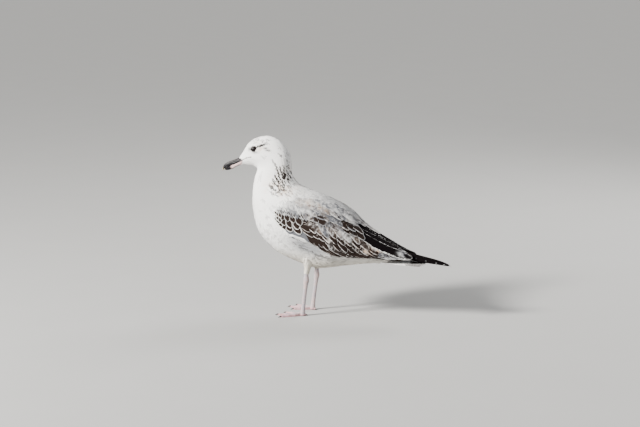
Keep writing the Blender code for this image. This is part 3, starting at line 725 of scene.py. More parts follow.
def plumage_material(name):
    """Soft body plumage, for the coat and for the skin under it."""
    made, net, shader = new_material(name, 0.9, 0.1)
    keys = ("streak", "dark", "grey", "buff", "cream", "middle")
    out = net.group(GROUPS["plumage"], **{key.capitalize(): net.value(key) for key in keys})
    shader.inputs["Sheen Weight"].default_value = 0.05
    shader.inputs["Sheen Roughness"].default_value = 0.5
    colour_and_relief(net, shader, out["Color"], out["Height"], 0.25, 0.0006)
    return made


def vane_material(name, dark_tone, roughness, specular):
    """Wing, flight and tail feathers, patterned by the values each feather carries."""
    made, net, shader = new_material(name, roughness, specular)
    keys = ("rim", "middle", "along", "barb", "centre", "depth", "grey", "buff", "fringe", "mottle")
    values = {key.capitalize(): net.value(key) for key in keys}
    out = net.group(GROUPS["vane"], Dark_Tone=dark_tone, **values)
    colour_and_relief(net, shader, out["Color"], out["Height"], 0.35, 0.0003)
    return made


def leg_material():
    """Pale flesh-coloured leg skin, greyer in patches, pinker on the webs, with darker joints between the
    plates."""
    made, net, shader = new_material("leg_skin", 0.48, 0.45)
    flesh, greyer = (0.44, 0.345, 0.335, 1.0), (0.32, 0.30, 0.34, 1.0)
    web_pink, joint_brown = (0.50, 0.22, 0.24, 1.0), (0.24, 0.17, 0.17, 1.0)
    out = net.group(GROUPS["scutes"], Scale=430.0)
    colour = net.mix(net.between(net.noise(60.0, 3.0), 0.35, 0.65), flesh, greyer)
    place = net.add("ShaderNodeSeparateXYZ")
    net.put(place.inputs[0], net.add("ShaderNodeTexCoord").outputs["Object"])
    webs = net.between(place.outputs["Z"], 0.0075, 0.0016)
    colour = net.mix(net.times(webs, 0.6), colour, web_pink)
    colour = net.mix(net.times(out["Joint"], 0.3), colour, joint_brown)
    shader.inputs["Subsurface Weight"].default_value = 0.08
    shader.inputs["Subsurface Radius"].default_value = (0.004, 0.0015, 0.001)
    colour_and_relief(net, shader, colour, out["Height"], 0.35, 0.0004)
    return made


def bill_material(name, lower):
    """Black horn with painted grey sheen on the ridge, a pale pink base on the lower half and a pale tip."""
    made, net, shader = new_material(name, 0.5, 0.14)
    black, worn, painted_sheen = (0.006, 0.0055, 0.007, 1.0), (0.035, 0.032, 0.034, 1.0), (0.10, 0.09, 0.088, 1.0)
    pale = (0.60, 0.44, 0.43, 1.0) if lower else (0.24, 0.215, 0.22, 1.0)
    tip_pale = (0.46, 0.38, 0.22, 1.0)
    out = net.group(GROUPS["horn"], Amount=1.0)
    base, ridge, tip = net.value("base"), net.value("ridge"), net.value("tip")
    colour = net.mix(net.times(out["Wear"], 0.4), black, worn)
    # Painted sheen: the ridge is lightened to grey where light would catch it.
    colour = net.mix(net.times(ridge, 0.85), colour, painted_sheen)
    colour = net.mix(net.times(base, 0.95 if lower else 0.8), colour, pale)
    colour = net.mix(net.times(tip, 0.85), colour, tip_pale)
    net.put(shader.inputs["Roughness"], net.between(out["Wear"], 0.0, 1.0, 0.44, 0.64))
    colour_and_relief(net, shader, colour, out["Height"], 0.25, 0.0003)
    return made


def claw_material():
    """Blackish horn, worn brown in streaks."""
    made, net, shader = new_material("claw_horn", 0.5, 0.2)
    out = net.group(GROUPS["horn"], Amount=0.8)
    colour = net.mix(out["Wear"], (0.018, 0.014, 0.013, 1.0), (0.10, 0.08, 0.07, 1.0))
    colour_and_relief(net, shader, colour, out["Height"], 0.2, 0.0002)
    return made


def eye_material():
    """Dark brown iris round a black pupil, under a wet clear coat. The gaze value is the distance from the
    middle of the pupil, in millimetres."""
    made, net, shader = new_material("eye_wet", 0.14, 0.14)
    pupil, rim = (0.002, 0.002, 0.002, 1.0), (0.008, 0.006, 0.005, 1.0)
    iris_dark, iris_brown = (0.004, 0.0026, 0.002, 1.0), (0.012, 0.006, 0.004, 1.0)
    gaze = net.value("gaze")
    iris = net.mix(net.between(net.noise(1500.0, 2.0), 0.35, 0.65), iris_dark, iris_brown)
    colour = net.mix(net.between(gaze, 2.35, 2.15), iris, pupil)
    colour = net.mix(net.between(gaze, 4.3, 4.9), colour, rim)
    net.put(shader.inputs["Base Color"], colour)
    shader.inputs["Coat Weight"].default_value = 0.15
    shader.inputs["Coat Roughness"].default_value = 0.03
    return made


def lid_material():
    """Dry dark skin of the eyelids' rims."""
    made, net, shader = new_material("lid_skin", 0.75, 0.08)
    fine = net.noise(1200.0, 2.0)
    colour = net.mix(fine, (0.006, 0.005, 0.005, 1.0), (0.028, 0.021, 0.019, 1.0))
    colour_and_relief(net, shader, colour, fine, 0.4, 0.0002)
    return made


MATERIALS = {
    "ground": plumage_material("plumage_ground"),
    "coat": plumage_material("plumage_coat"),
    "wing": vane_material("wing_vanes", BROWN, 0.85, 0.05),
    "flight": vane_material("flight_vanes", BLACK, 0.75, 0.02),
    "tail": vane_material("tail_vanes", BROWN, 0.8, 0.1),
    "leg": leg_material(),
    "bill_upper": bill_material("bill_upper_horn", False),
    "bill_lower": bill_material("bill_lower_horn", True),
    "claw": claw_material(),
    "eye": eye_material(),
    "lid": lid_material(),
}


# -------------------------------------------------------------------------------------------------- skin


# Depth of the coat in millimetres, at lengths from the bill.
COAT_ARCS = (0, 8, 40, 90, 150, 230, 420, 560)
COAT_DEPTHS = (0.25, 0.7, 1.0, 1.4, 2.1, 2.7, 2.7, 2.2)
NECK_STATION = 7  # the body's rows are finer before it, over the head, than behind it
HEAD_ROWS, TRUNK_ROWS = 150, 118
LEG_ROWS, LEG_AROUND = 90, 28


def coat_depth(arc):
    return np.interp(arc, COAT_ARCS, COAT_DEPTHS)


def body_skin():
    """The body tube, drawn in along its normals by the coat's depth."""
    head = np.linspace(0, NECK_STATION, HEAD_ROWS, endpoint=False)
    places = np.concatenate([head, np.linspace(NECK_STATION, LAST, TRUNK_ROWS)])
    angles = np.linspace(0, TURN, COLUMNS + 1)
    points = body_point(places[:, None], angles[None, :])
    normals = grid_normals(points, True)
    lengths = np.linalg.norm(np.diff(points, axis=0), axis=-1)
    arcs = np.concatenate([np.zeros((1, COLUMNS + 1)), np.cumsum(lengths, axis=0)])
    points = points - normals * coat_depth(arcs)[..., None]
    return points[None, :, :-1]


def leg_rings(leg):
    """A feathered thigh that narrows into a bare shank: ovals down the leg, with a knob at the heel joint."""
    side, x, joint_y, foot_y = LEGS[leg]
    rows = smooth_table(LEG, np.linspace(0, len(LEG) - 1, LEG_ROWS))
    angles = np.arange(LEG_AROUND) * TURN / LEG_AROUND
    below = np.clip((JOINT_HEIGHT - rows[:, 0]) / (JOINT_HEIGHT - SHANK_FOOT), 0, 1)
    y = joint_y + rows[:, 1] + below * (foot_y - joint_y)
    px = side * x + rows[:, 2, None] * np.cos(angles)
    py = y[:, None] + rows[:, 3, None] * np.sin(angles)
    pz = np.broadcast_to(rows[:, 0, None], px.shape)
    return np.stack([px, py, pz], -1)[None]


def turn_foot(points, leg):
    """From a foot's own place, toes towards -Y, to where the leg stands."""
    side, x, _, foot_y = LEGS[leg]
    turn = np.radians(FOOT_TURN)
    px = points[..., 0] * np.cos(turn) - points[..., 1] * np.sin(turn)
    py = points[..., 0] * np.sin(turn) + points[..., 1] * np.cos(turn)
    return np.stack([side * (x + px), foot_y + py, points[..., 2]], -1)


def toe_frame(turn):
    """Directions along and across a toe, seen from above."""
    turn = np.radians(turn)
    along = np.array([np.sin(turn), -np.cos(turn)])
    return along, np.array([-along[1], along[0]])


TOE_ROWS, TOE_ACROSS, WEB_ACROSS = 44, 9, 9
TOE_START = 0.07  # share of a toe's length where the toes leave the foot
TOE_EDGE, WEB_TOP = 1.2, 1.5  # heights of a toe's edge and of a web
WEB_NOTCH = 0.13


def foot_rings(leg):
    """Toes and webs as one sheet over the floor. Across a toe the top is a half round, z = web + (toe - web)
    * sqrt(1 - u^2), swollen at the joints; a web is spanned between two toes and its margin hangs back by
    13 percent. The underside is flat."""
    shares = np.linspace(TOE_START, 1.0, TOE_ROWS)[:, None]
    columns = []
    half = TOE_HALF[0] + shares * (TOE_HALF[1] - TOE_HALF[0])
    high = TOE_HIGH[0] + shares * (TOE_HIGH[1] - TOE_HIGH[0])
    u = np.linspace(-1, 1, TOE_ACROSS)[None, :]
    for turn, length in TOES:
        along, across = toe_frame(turn)
        joints = 1 + 0.10 * np.cos(TURN * (shares * 3.0 + 0.1)) * step(0.2, 0.35, shares)
        near = np.minimum(half * joints, 0.18 * length * shares) * (1 - 0.7 * step(0.92, 1.0, shares))
        xy = along * (length * shares)[..., None] + across * (near * u)[..., None]
        end = 1 - 0.62 * step(0.9, 1.0, shares)
        z = TOE_EDGE + (high * joints - TOE_EDGE) * np.sqrt(1 - 0.999 * u**2) * end
        columns.append(np.concatenate([xy, z[..., None]], -1))
    g = np.linspace(0, 1, WEB_ACROSS + 2)[None, 1:-1]
    parts = [columns[0]]
    for first, second in zip(columns, columns[1:]):
        pull = (1 - WEB_NOTCH * 4 * g * (1 - g) * step(0.5, 1.0, shares))[..., None]
        web = first[:, -1:] * (1 - g[..., None]) + second[:, :1] * g[..., None]
        web = web * pull
        web[..., 2] = WEB_TOP + 0.28 * np.cos(TURN * 3 * g) * step(0.1, 0.6, shares)
        parts += [web, second]
    top = np.concatenate(parts, axis=1)
    bottom = top * (1.0, 1.0, 0.0)
    return turn_foot(ring_pairs(top[None], bottom[None]), leg)


def curved_rod(line, radii, around=12):
    """Round tube along a curve, with its rings square to the curve."""
    line = np.asarray(line, float)
    tangent = unit(np.gradient(line, axis=0))
    sideways = unit(np.cross(tangent, (0.0, 0.0, 1.0)))
    up = np.cross(sideways, tangent)
    angles = np.arange(around) * TURN / around
    radii = np.asarray(radii)[:, None, None]
    ring = sideways[:, None] * np.cos(angles)[None, :, None] + up[:, None] * np.sin(angles)[None, :, None]
    return (line[:, None] + ring * radii)[None]


def hind_toe_rings(leg):
    """The short hind toe, a rod that slopes back and down."""
    t = np.linspace(0, 1, 10)
    line = np.stack([-2.6 * t, 2.0 + 6.0 * t, 4.6 - 2.6 * t], -1)
    return turn_foot(curved_rod(line, 2.5 - 0.9 * t**2), leg)


def claw_rings(leg):
    """Claws at the ends of the toes, and of the hind toe: tapering rods that arch down to the floor."""
    t = np.linspace(0, 1, 10)
    found = []
    for turn, length in TOES:
        along, _ = toe_frame(turn)
        reach = length - 3.4 + 9.0 * t
        z = 1.9 + 1.0 * np.sin(np.pi * t * 0.75) - 2.6 * t**2
        line = np.stack([along[0] * reach, along[1] * reach, z], -1)
        found.append(turn_foot(curved_rod(line, 1.6 * (1 - t**1.5) + 0.22), leg))
    line = np.stack([-2.6 - 1.3 * t, 8.0 + 3.2 * t, 2.0 - 1.6 * t**1.5], -1)
    found.append(turn_foot(curved_rod(line, 1.3 * (1 - t**1.4) + 0.2), leg))
    rings = np.concatenate(found)
    rings[..., 2] = np.maximum(rings[..., 2], 0.0)
    return rings


LID_AROUND, LID_TUBE = 64, 10
LID_TILT = 0.25  # turn of the opening, in radians
LID_THICK = 0.75  # the rim's radius outwards from the eyeball; along the eyeball it is 1


def lid_rings(side):
    """The rim of the eyelids: a ring that lies on the eyeball round a slightly pointed opening."""
    a = np.arange(LID_AROUND) * TURN / LID_AROUND
    reach = LID_OPEN * (1 + 0.07 * np.cos(2 * a) + 0.05 * np.cos(4 * a))
    dy, dz = reach * np.cos(a), reach * np.sin(a) * 0.97
    c, s = np.cos(LID_TILT), np.sin(LID_TILT)
    dy, dz = dy * c - dz * s, dy * s + dz * c
    out = np.sqrt(EYE_RADIUS**2 - dy**2 - dz**2)
    line = np.stack([EYE[0] + out, EYE[1] + dy, EYE[2] + dz], -1)
    normal = unit(line - EYE)
    tangent = unit(np.roll(line, -1, axis=0) - np.roll(line, 1, axis=0))
    outward = np.cross(tangent, normal)
    b = np.arange(LID_TUBE) * TURN / LID_TUBE
    out, along = np.cos(b)[None, :, None] * LID_THICK, np.sin(b)[None, :, None]
    ring = normal[:, None] * out + outward[:, None] * along
    return mirrored((line[:, None] + ring)[None], side)


def union(name, objects):
    """One closed mesh from closed pieces that overlap, by exact Booleans."""
    first = objects[0]
    for other in objects[1:]:
        joined = first.modifiers.new("join", "BOOLEAN")
        joined.operation = "UNION"
        joined.solver = "EXACT"
        joined.object = other
    evaluated = first.evaluated_get(bpy.context.evaluated_depsgraph_get())
    mesh = bpy.data.meshes.new_from_object(evaluated)
    for obj in objects:
        bpy.data.objects.remove(obj)
    mesh.name = name
    made = bpy.data.objects.new(name, mesh)
    bpy.context.scene.collection.objects.link(made)
    return made


def mesh_points(mesh):
    """A mesh's points, back in millimetres."""
    co = np.empty(len(mesh.vertices) * 3, np.float32)
    mesh.vertices.foreach_get("co", co)
    return co.reshape(-1, 3) / MM + (0.0, MIDDLE, 0.0)


def make_skin():
    """The one skin of head, neck, trunk, rump, legs and feet. The rims of the lids and the claws are pieces
    of their own."""
    pieces = [tubes("skin_body", body_skin())]
    for leg in LEGS:
        pieces += [
            tubes("skin_leg", leg_rings(leg)), tubes("skin_foot", foot_rings(leg)),
            tubes("skin_hind", hind_toe_rings(leg)),
        ]
    skin = union("skin", pieces)
    mesh = skin.data
    mesh.materials.clear()
    mesh.materials.append(MATERIALS["ground"])
    mesh.materials.append(MATERIALS["leg"])
    points = mesh_points(mesh)
    found = markings(points, 0.5)
    found["middle"] = np.full(len(points), 0.5)
    put_values(mesh, found)
    centres = np.empty(len(mesh.polygons) * 3, np.float32)
    mesh.polygons.foreach_get("center", centres)
    low = centres.reshape(-1, 3)[:, 2] < BARE_BELOW * MM
    mesh.polygons.foreach_set("material_index", low.astype(np.int32))
    mesh.shade_smooth()
    mesh.set_sharp_from_angle(angle=np.radians(60))
    of_legs = [part + "_" + leg for part in ("thigh", "shank", "foot") for leg in LEGS]
    nodes = ["head", "neck", "trunk", "rump"] + of_legs
    finish_piece(skin, MATERIALS["ground"], "body_plumage", *nodes)
    for leg, (side, *_) in LEGS.items():
        piece("lids_" + leg, lid_rings(side), "lid", "body_plumage", loop=True)
        piece("claws_" + leg, claw_rings(leg), "claw", "leg_skin")


# -------------------------------------------------------------------------------------------------- coat


TUFT_T = np.array([0.0, 0.3, 0.6, 0.85, 1.0])  # shares of a tuft's length at its five rings
TUFT_HALF = np.array([0.6, 1.0, 0.97, 0.66, 0.12])  # and how wide it is there
TUFT_MIDDLE = np.array([0.0, 1.0, 0.0, 0.8])  # how near its middle line each of a ring's four points counts

# Spacing of the tufts in millimetres, at lengths from the bill; their length as a multiple of it.
SPACING_ARCS = (0, 30, 90, 150, 230, 330, 520)
SPACINGS = (1.4, 1.7, 2.0, 2.4, 3.6, 4.8, 6.0)
LENGTH_ARCS = (0, 60, 120, 300)
LENGTHS = (3.0, 3.5, 4.0, 4.2)
TUFT_WIDTH = 0.66  # half a tuft's width, as a multiple of the spacing
FIRST_RING, LAST_RING = 0.6, 520.0
RING_CLOSENESS = 0.68  # tufts round a ring stand closer than the rings do
ROUND_BODY = 241  # points that a ring's length is measured with


def tuft_roots(rng):
    """Places for the tufts: rings round the body at growing distances, each spread evenly and a little at
    random. Returns lengths from the bill, angles and spacings."""
    arc, arcs, angles, spacings = FIRST_RING, [], [], []
    around = np.linspace(0, TURN, ROUND_BODY)
    while arc < LAST_RING:
        spacing = np.interp(arc, SPACING_ARCS, SPACINGS)
        ring, _ = on_body(np.full(ROUND_BODY, arc), around)
        run = np.concatenate([[0], np.cumsum(np.linalg.norm(np.diff(ring, axis=0), axis=1))])
        count = max(8, int(run[-1] / (RING_CLOSENESS * spacing)))
        at = (np.arange(count) + rng.uniform(-0.3, 0.3, count) + rng.uniform()) / count * run[-1]
        angles.append(np.interp(np.mod(at, run[-1]), run, around))
        arcs.append(arc + rng.uniform(-0.3, 0.3, count) * spacing)
        spacings.append(np.full(count, spacing))
        arc += spacing
    return np.maximum(np.concatenate(arcs), 0.2), np.concatenate(angles), np.concatenate(spacings)


def under_wing(points):
    """Whether points of the body lie well under a folded wing. A strip inside the wing's edges stays coated:
    9 mm at the front of its lower edge, and 9 mm along its upper edge as far as the rump."""
    y, z = points[..., 1], points[..., 2]
    row = np.moveaxis(table_at(WING, np.clip(y, WING[0, 0], WING[-1, 0])), -1, 0)
    inside = (y > WING[0, 0] + 10) & (y < WING[-1, 0] + 30)
    strip = np.interp(y, (20, 75), (9.0, -1.5))
    between_edges = (z > row[2] + strip) & ((z < row[4] - 9) | (y > 132))
    return inside & between_edges & (np.abs(points[..., 0]) < row[1] + 25)


STREAK_LANES, STREAK_RUNS = 92, 160
RUN_ARCS = (0, 80, 150, 240, 400)
RUNS = (5, 8, 13, 11, 9)  # length of a streak at those lengths from the bill


def streak_chance(arc, angle, rng):
    """A random number for each feather, shared by those that follow each other in a lane along the body, so
    that their dark centres join into a streak. Every other lane stays mostly pale and keeps the streaks
    apart. On the sides of the neck the lanes slant up and back."""
    slant = angle + 0.70 * step(90.0, 235.0, arc) * np.sin(angle)
    lane = np.mod((slant / TURN * STREAK_LANES).astype(int), STREAK_LANES)
    run = np.interp(arc, RUN_ARCS, RUNS)
    start = rng.uniform(0, 1, STREAK_LANES)
    pale = np.arange(STREAK_LANES) % 2
    table = rng.uniform(0, 1, (STREAK_RUNS, STREAK_LANES)) * (0.66 - 0.26 * pale) + 0.60 * pale
    along = (arc / run + start[lane]).astype(int)
    return table[np.clip(along, 0, STREAK_RUNS - 1), lane]


def tuft_rings(line, normal, half, lift):
    """Closed blades of five four-cornered rings: left edge, domed upper middle, right edge, under middle."""
    tangent = unit(np.gradient(line, axis=1))
    across = unit(np.cross(normal, tangent))
    line = line + normal * lift[..., None]
    wide = half[:, None] * TUFT_HALF[None, :]
    dome = 0.05 * wide + 0.04
    left = line - across * wide[..., None] - normal * dome[..., None] * 0.6
    right = line + across * wide[..., None] - normal * dome[..., None] * 0.6
    top = line + normal * dome[..., None] * 0.5
    bottom = line - normal * (dome * 0.1 + 0.09)[..., None]
    return np.stack([left, top, right, bottom], axis=2)


def tuft_values(line, chance):
    """The values a tuft's colour is worked out from, alike over the whole tuft but for its middle."""
    shape = (len(line), len(TUFT_T), len(TUFT_MIDDLE))
    found = markings(line[:, 3], chance)
    values = {key: np.broadcast_to(v[:, None, None], shape) for key, v in found.items()}
    values["middle"] = np.broadcast_to(TUFT_MIDDLE, shape)
    return values


PATCH = 0.003  # width of a tuft's patch on the bake map
CHART_LENGTH = 560.0  # length from the bill that the bake map takes in
CHART_SHARE, CHART_MARGIN = 0.98, 0.01


def tuft_patch(u, v):
    """A small patch on the bake map for each tuft, at its root's place on an unwrap of the skin."""
    patch_u = u[:, None, None] + (TUFT_T[None, :, None] - 0.5) * PATCH + np.zeros((1, 1, 4))
    patch_v = v[:, None, None] + np.array([-1.0, 0.0, 1.0, 0.0]) * PATCH / 2 + np.zeros((1, 5, 1))
    return np.stack([patch_u, patch_v], -1)


# Pieces of the coat: from and to a length from the bill, on which part of the body. Each takes what the ones
# before it left.
COAT_REGIONS = {
    "face": (0, 42, "all"), "crown": (42, 78, "upper"), "throat": (42, 110, "lower"),
    "nape": (78, 140, "upper"), "neck": (110, 180, "lower"), "breast": (180, 270, "lower"),
    "belly": (270, np.inf, "lower"), "back": (0, np.inf, "all"),
}
PAST_BODY = 60  # a tuft's root lies at most this far beyond the shortest line along the body
REARMOST_TIP = 194.0  # y


def far_from_eye(points):
    return np.hypot(points[:, 1] - EYE[1], points[:, 2] - EYE[2])


def tuft_layout(rng):
    """Where the coat's tufts are rooted, how long and wide they are and how they turn. Those round the eye
    are cut short, and those on bare skin, over the eye, under the wings or past the body are left out."""
    arc, angle, spacing = tuft_roots(rng)
    count = len(arc)
    length = spacing * np.interp(arc, LENGTH_ARCS, LENGTHS) * rng.uniform(0.8, 1.25, count)
    half = spacing * TUFT_WIDTH * rng.uniform(0.8, 1.25, count)
    slant = 24.0 * np.sin(angle) * step(80.0, 130.0, arc) * step(260.0, 190.0, arc)
    yaw = np.radians(slant + rng.normal(0, 8, count))
    root, _ = on_body(arc, angle)
    tip, _ = on_body(arc + length, angle)
    beside = np.abs(root[:, 0]) > 12
    rim = LID_OPEN + 0.9
    tip_far = far_from_eye(tip)
    cut = np.maximum(0.35 * length, length - (rim - tip_far) * 1.3)
    length = np.where(beside & (tip_far < rim), cut, length)
    tip, _ = on_body(arc + length, angle)
    from_crown = np.degrees(np.minimum(angle, TURN - angle))
    below_top = from_crown > np.interp(arc, BARE_ARC, BARE_TOP)
    above_low = from_crown < np.interp(arc, BARE_ARC, BARE_LOW)
    bare = (arc < BARE_ARC[-1]) & below_top & above_low
    over_eye = beside & ((far_from_eye(root) < rim) | (far_from_eye(tip) < rim - 0.3))
    past = (arc > BODY_ARCS.min() + PAST_BODY) | (tip[:, 1] > REARMOST_TIP)
    kept = ~(bare | over_eye | under_wing(root) | past)
    return (a[kept] for a in (arc, angle, length, half, yaw))


def make_coat(rng):
    """Small overlapping feathers over head, neck and body. Each follows the body's own surface and rises from
    the skin at its root to the outer surface at its tip. Its patch on the bake map lies at its root's length
    and angle."""
    arc, angle, length, half, yaw = tuft_layout(rng)
    count = len(arc)
    t = TUFT_T[None, :]
    angles = np.broadcast_to(angle[:, None], (count, len(TUFT_T)))
    line, normal = on_body(arc[:, None] + length[:, None] * t, angles)
    across = np.cross(normal, unit(np.gradient(line, axis=1)))
    line = line + across * (length[:, None] * t * np.tan(yaw)[:, None])[..., None]
    depth = coat_depth(arc)[:, None]
    ruffle = rng.uniform(-0.09, 0.09, count)[:, None] * depth
    lift = -1.02 * depth * (1 - t) ** 1.9 + ruffle * t - 0.05
    rings = tuft_rings(line, normal, half, lift)
    values = tuft_values(line, streak_chance(arc, angle, rng))
    u = np.clip(arc / CHART_LENGTH, 0, 1) * CHART_SHARE + CHART_MARGIN
    patch = tuft_patch(u, angle / TURN * CHART_SHARE + CHART_MARGIN)
    lower = np.cos(angle) < -0.1
    parts = {"all": np.ones(count, bool), "upper": ~lower, "lower": lower}
    left_over = np.ones(count, bool)
    for name, (start, end, part) in COAT_REGIONS.items():
        chosen = left_over & (arc >= start) & (arc < end) & parts[part]
        left_over &= ~chosen
        kept = {"values": {key: v[chosen] for key, v in values.items()}, "patch": patch[chosen]}
        piece("coat_" + name, rings[chosen], "coat", "body_plumage", smooth=False, **kept)


# The outer surface of a feathered thigh: height, behind the heel joint, radius across, radius along.
THIGH_COAT = np.array([
    (158, 12, 21.5, 26.5), (150, 10, 20.6, 25.4), (137.75, 7.75, 17.2, 21.2), (125.5, 5.5, 11.2, 13.8),
    (113.25, 3.25, 6.6, 8.2), (101, 1.0, 5.3, 6.4),
])
THIGH_ROWS, THIGH_AROUND = 15, 26
THIGH_FROM, THIGH_TO = 140, 105


def thigh_point(height, angle, side, x, joint_y):
    """Points of a thigh's outer surface: an oval at each height."""
    place = np.interp(-height, -THIGH_COAT[:, 0], np.arange(len(THIGH_COAT)))
    row = np.moveaxis(smooth_table(THIGH_COAT, place), -1, 0)
    px = side * x + row[2] * np.cos(angle)
    return np.stack([px, joint_y + row[1] + row[3] * np.sin(angle), height], -1)


def make_thighs(rng):
    """Small feathers down both thighs, to where the bare leg begins. Their patches on the bake map lie at
    their roots' height and angle."""
    for leg, (side, x, joint_y, _) in LEGS.items():
        heights = np.repeat(np.linspace(THIGH_FROM, THIGH_TO, THIGH_ROWS), THIGH_AROUND)
        turns = np.tile(np.arange(THIGH_AROUND) * TURN / THIGH_AROUND, THIGH_ROWS)
        angle = rng.uniform(0, 0.4, len(heights)) + turns
        height = heights + rng.normal(0, 0.7, len(heights))
        count = len(height)
        length = rng.uniform(9.0, 12.0, count) * np.interp(height, (104, 120), (0.62, 1.0))
        half = np.interp(height, (104, 125, 140), (1.15, 2.2, 3.2))
        low = height[:, None] - length[:, None] * TUFT_T
        wide = np.broadcast_to(angle[:, None], low.shape)
        line = thigh_point(low, wide, side, x, joint_y)
        middle_x, middle_y = np.full(low.shape, side * x), np.full(low.shape, joint_y) + (low - 101) * 0.2
        outwards = line - np.stack([middle_x, middle_y, low], -1)
        normal = unit(outwards * (1.0, 1.0, 0.0) + (0.0, 0.0, -0.3))
        depth = np.interp(height, (104, 125), (0.9, 2.2))[:, None]
        lift = -depth * (1 - TUFT_T) ** 1.2 + rng.uniform(-0.15, 0.1, count)[:, None]
        rings = tuft_rings(line, normal, half, lift)
        u = np.interp(height, (100, 145), (0.05, 0.95))
        patch = tuft_patch(u, np.mod(angle, TURN) / TURN * 0.96 + 0.02)
        values = tuft_values(line, rng.uniform(0.3, 1, count))
        kept = {"values": values, "patch": patch, "smooth": False}
        piece("coat_thigh_" + leg, rings, "coat", "body_plumage", **kept)


# ------------------------------------------------------------------------------------ vanes of the wings


VANE_T = np.array([0.0, 0.12, 0.26, 0.42, 0.58, 0.72, 0.83, 0.91, 0.965, 1.0])  # shares of a vane's length
VANE_W = np.array([-1.0, -0.82, -0.5, -0.06, 0.06, 0.5, 0.82, 1.0])  # and of its half width, across it
ROUND_VANE = np.concatenate([VANE_W, VANE_W[::-1]])  # across its upper face and back across its lower one


def vane_half(t, blunt, root):
    """Half width along a vane: it grows from the root as a power and closes at the tip as
    (1 - s^blunt)^(1/2), so a high number makes a square tip and a low one a pointed one."""
    grow = root + (1 - root) * np.minimum(1, t / 0.35) ** 0.7
    return grow * np.sqrt(np.maximum(1 - t**blunt, 0.0025))


def vane_rings(line, normal, half, lift, tilt, blunt, root=0.55, chart=None, thick=0.35):
    """Closed thin blades along centre lines (vane, along, xyz), with the values their pattern is worked out
    from. A vane's width is laid on the surface under it, when a chart is given, or straight across. tilt
    raises its lower edge, and its upper face is a low dome."""
    tangent = unit(np.gradient(line, axis=1))
    across = unit(np.cross(normal, tangent))
    t = VANE_T[None, :]
    wide = half[:, None] * vane_half(t, blunt[:, None], root)
    offset = wide[..., None] * VANE_W
    if chart is None:
        spread = line[:, :, None] + across[:, :, None] * offset[..., None]
    else:
        spread = chart(line, across, offset)
    height = lift[..., None] - tilt[:, None, None] * VANE_W + 0.05 * wide[..., None] * (1 - VANE_W**2)
    top = spread + normal[:, :, None] * height[..., None]
    body = thick * (0.3 + 0.7 * (1 - VANE_W**2)) * np.ones_like(offset)
    bottom = top - normal[:, :, None] * body[..., None]
    reach = np.linalg.norm(np.diff(line, axis=1), axis=-1).sum(1)
    to_side = wide[..., None] * (1 - np.abs(VANE_W))
    to_tip = (reach[:, None] * (1 - t))[..., None] + 0 * offset
    barb = (reach[:, None] * t)[..., None] - 0.9 * np.abs(offset)
    values = {
        "rim": np.minimum(to_side, 0.3 * to_side + to_tip),
        "middle": np.broadcast_to(1 - np.abs(VANE_W), offset.shape),
        "along": np.broadcast_to(t[..., None], offset.shape),
        "barb": barb,
    }
    values = {key: np.concatenate([v, v[:, :, ::-1]], axis=2) for key, v in values.items()}
    return ring_pairs(top, bottom), values


HALF_STEP = 0.5  # of the side chart, for its slopes


def on_side(line, across, offset):
    """Points at sideways offsets from a centre line, laid on the side chart: the offset is turned into steps
    of the chart's two directions by solving its 2 x 2 metric."""
    i, j = side_place(line[..., 1], line[..., 2])
    di = grid_read(SIDE_CHART, i + HALF_STEP, j) - grid_read(SIDE_CHART, i - HALF_STEP, j)
    dj = grid_read(SIDE_CHART, i, j + HALF_STEP) - grid_read(SIDE_CHART, i, j - HALF_STEP)
    a, b, c = (di * di).sum(-1), (di * dj).sum(-1), (dj * dj).sum(-1)
    p, q = (across * di).sum(-1), (across * dj).sum(-1)
    det = np.maximum(a * c - b * b, 1e-6)
    step_i, step_j = (c * p - b * q) / det, (a * q - b * p) / det
    ii = i[..., None] + step_i[..., None] * offset
    jj = j[..., None] + step_j[..., None] * offset
    limit = SIDE_CHART.shape[1] - 1.5
    return grid_read(SIDE_CHART, ii, np.minimum(jj, limit))


def bent_lines(roots, tips, bend):
    """Lines from root to tip as seen from the side, bent up by a share of their length."""
    t = VANE_T[None, :, None]
    run = tips - roots
    square = np.stack([-run[:, 1], run[:, 0]], -1)
    return roots[:, None] + run[:, None] * t + square[:, None] * (bend * 4 * t * (1 - t))


def side_lines(roots, tips, bend):
    """Centre lines laid on the side chart, with its normals along them."""
    flat = bent_lines(roots, tips, bend)
    i, j = side_place(flat[..., 0], flat[..., 1])
    j = np.minimum(j, SIDE_CHART.shape[1] - 1.2)
    return grid_read(SIDE_CHART, i, j), unit(grid_read(SIDE_NORMALS, i, j))


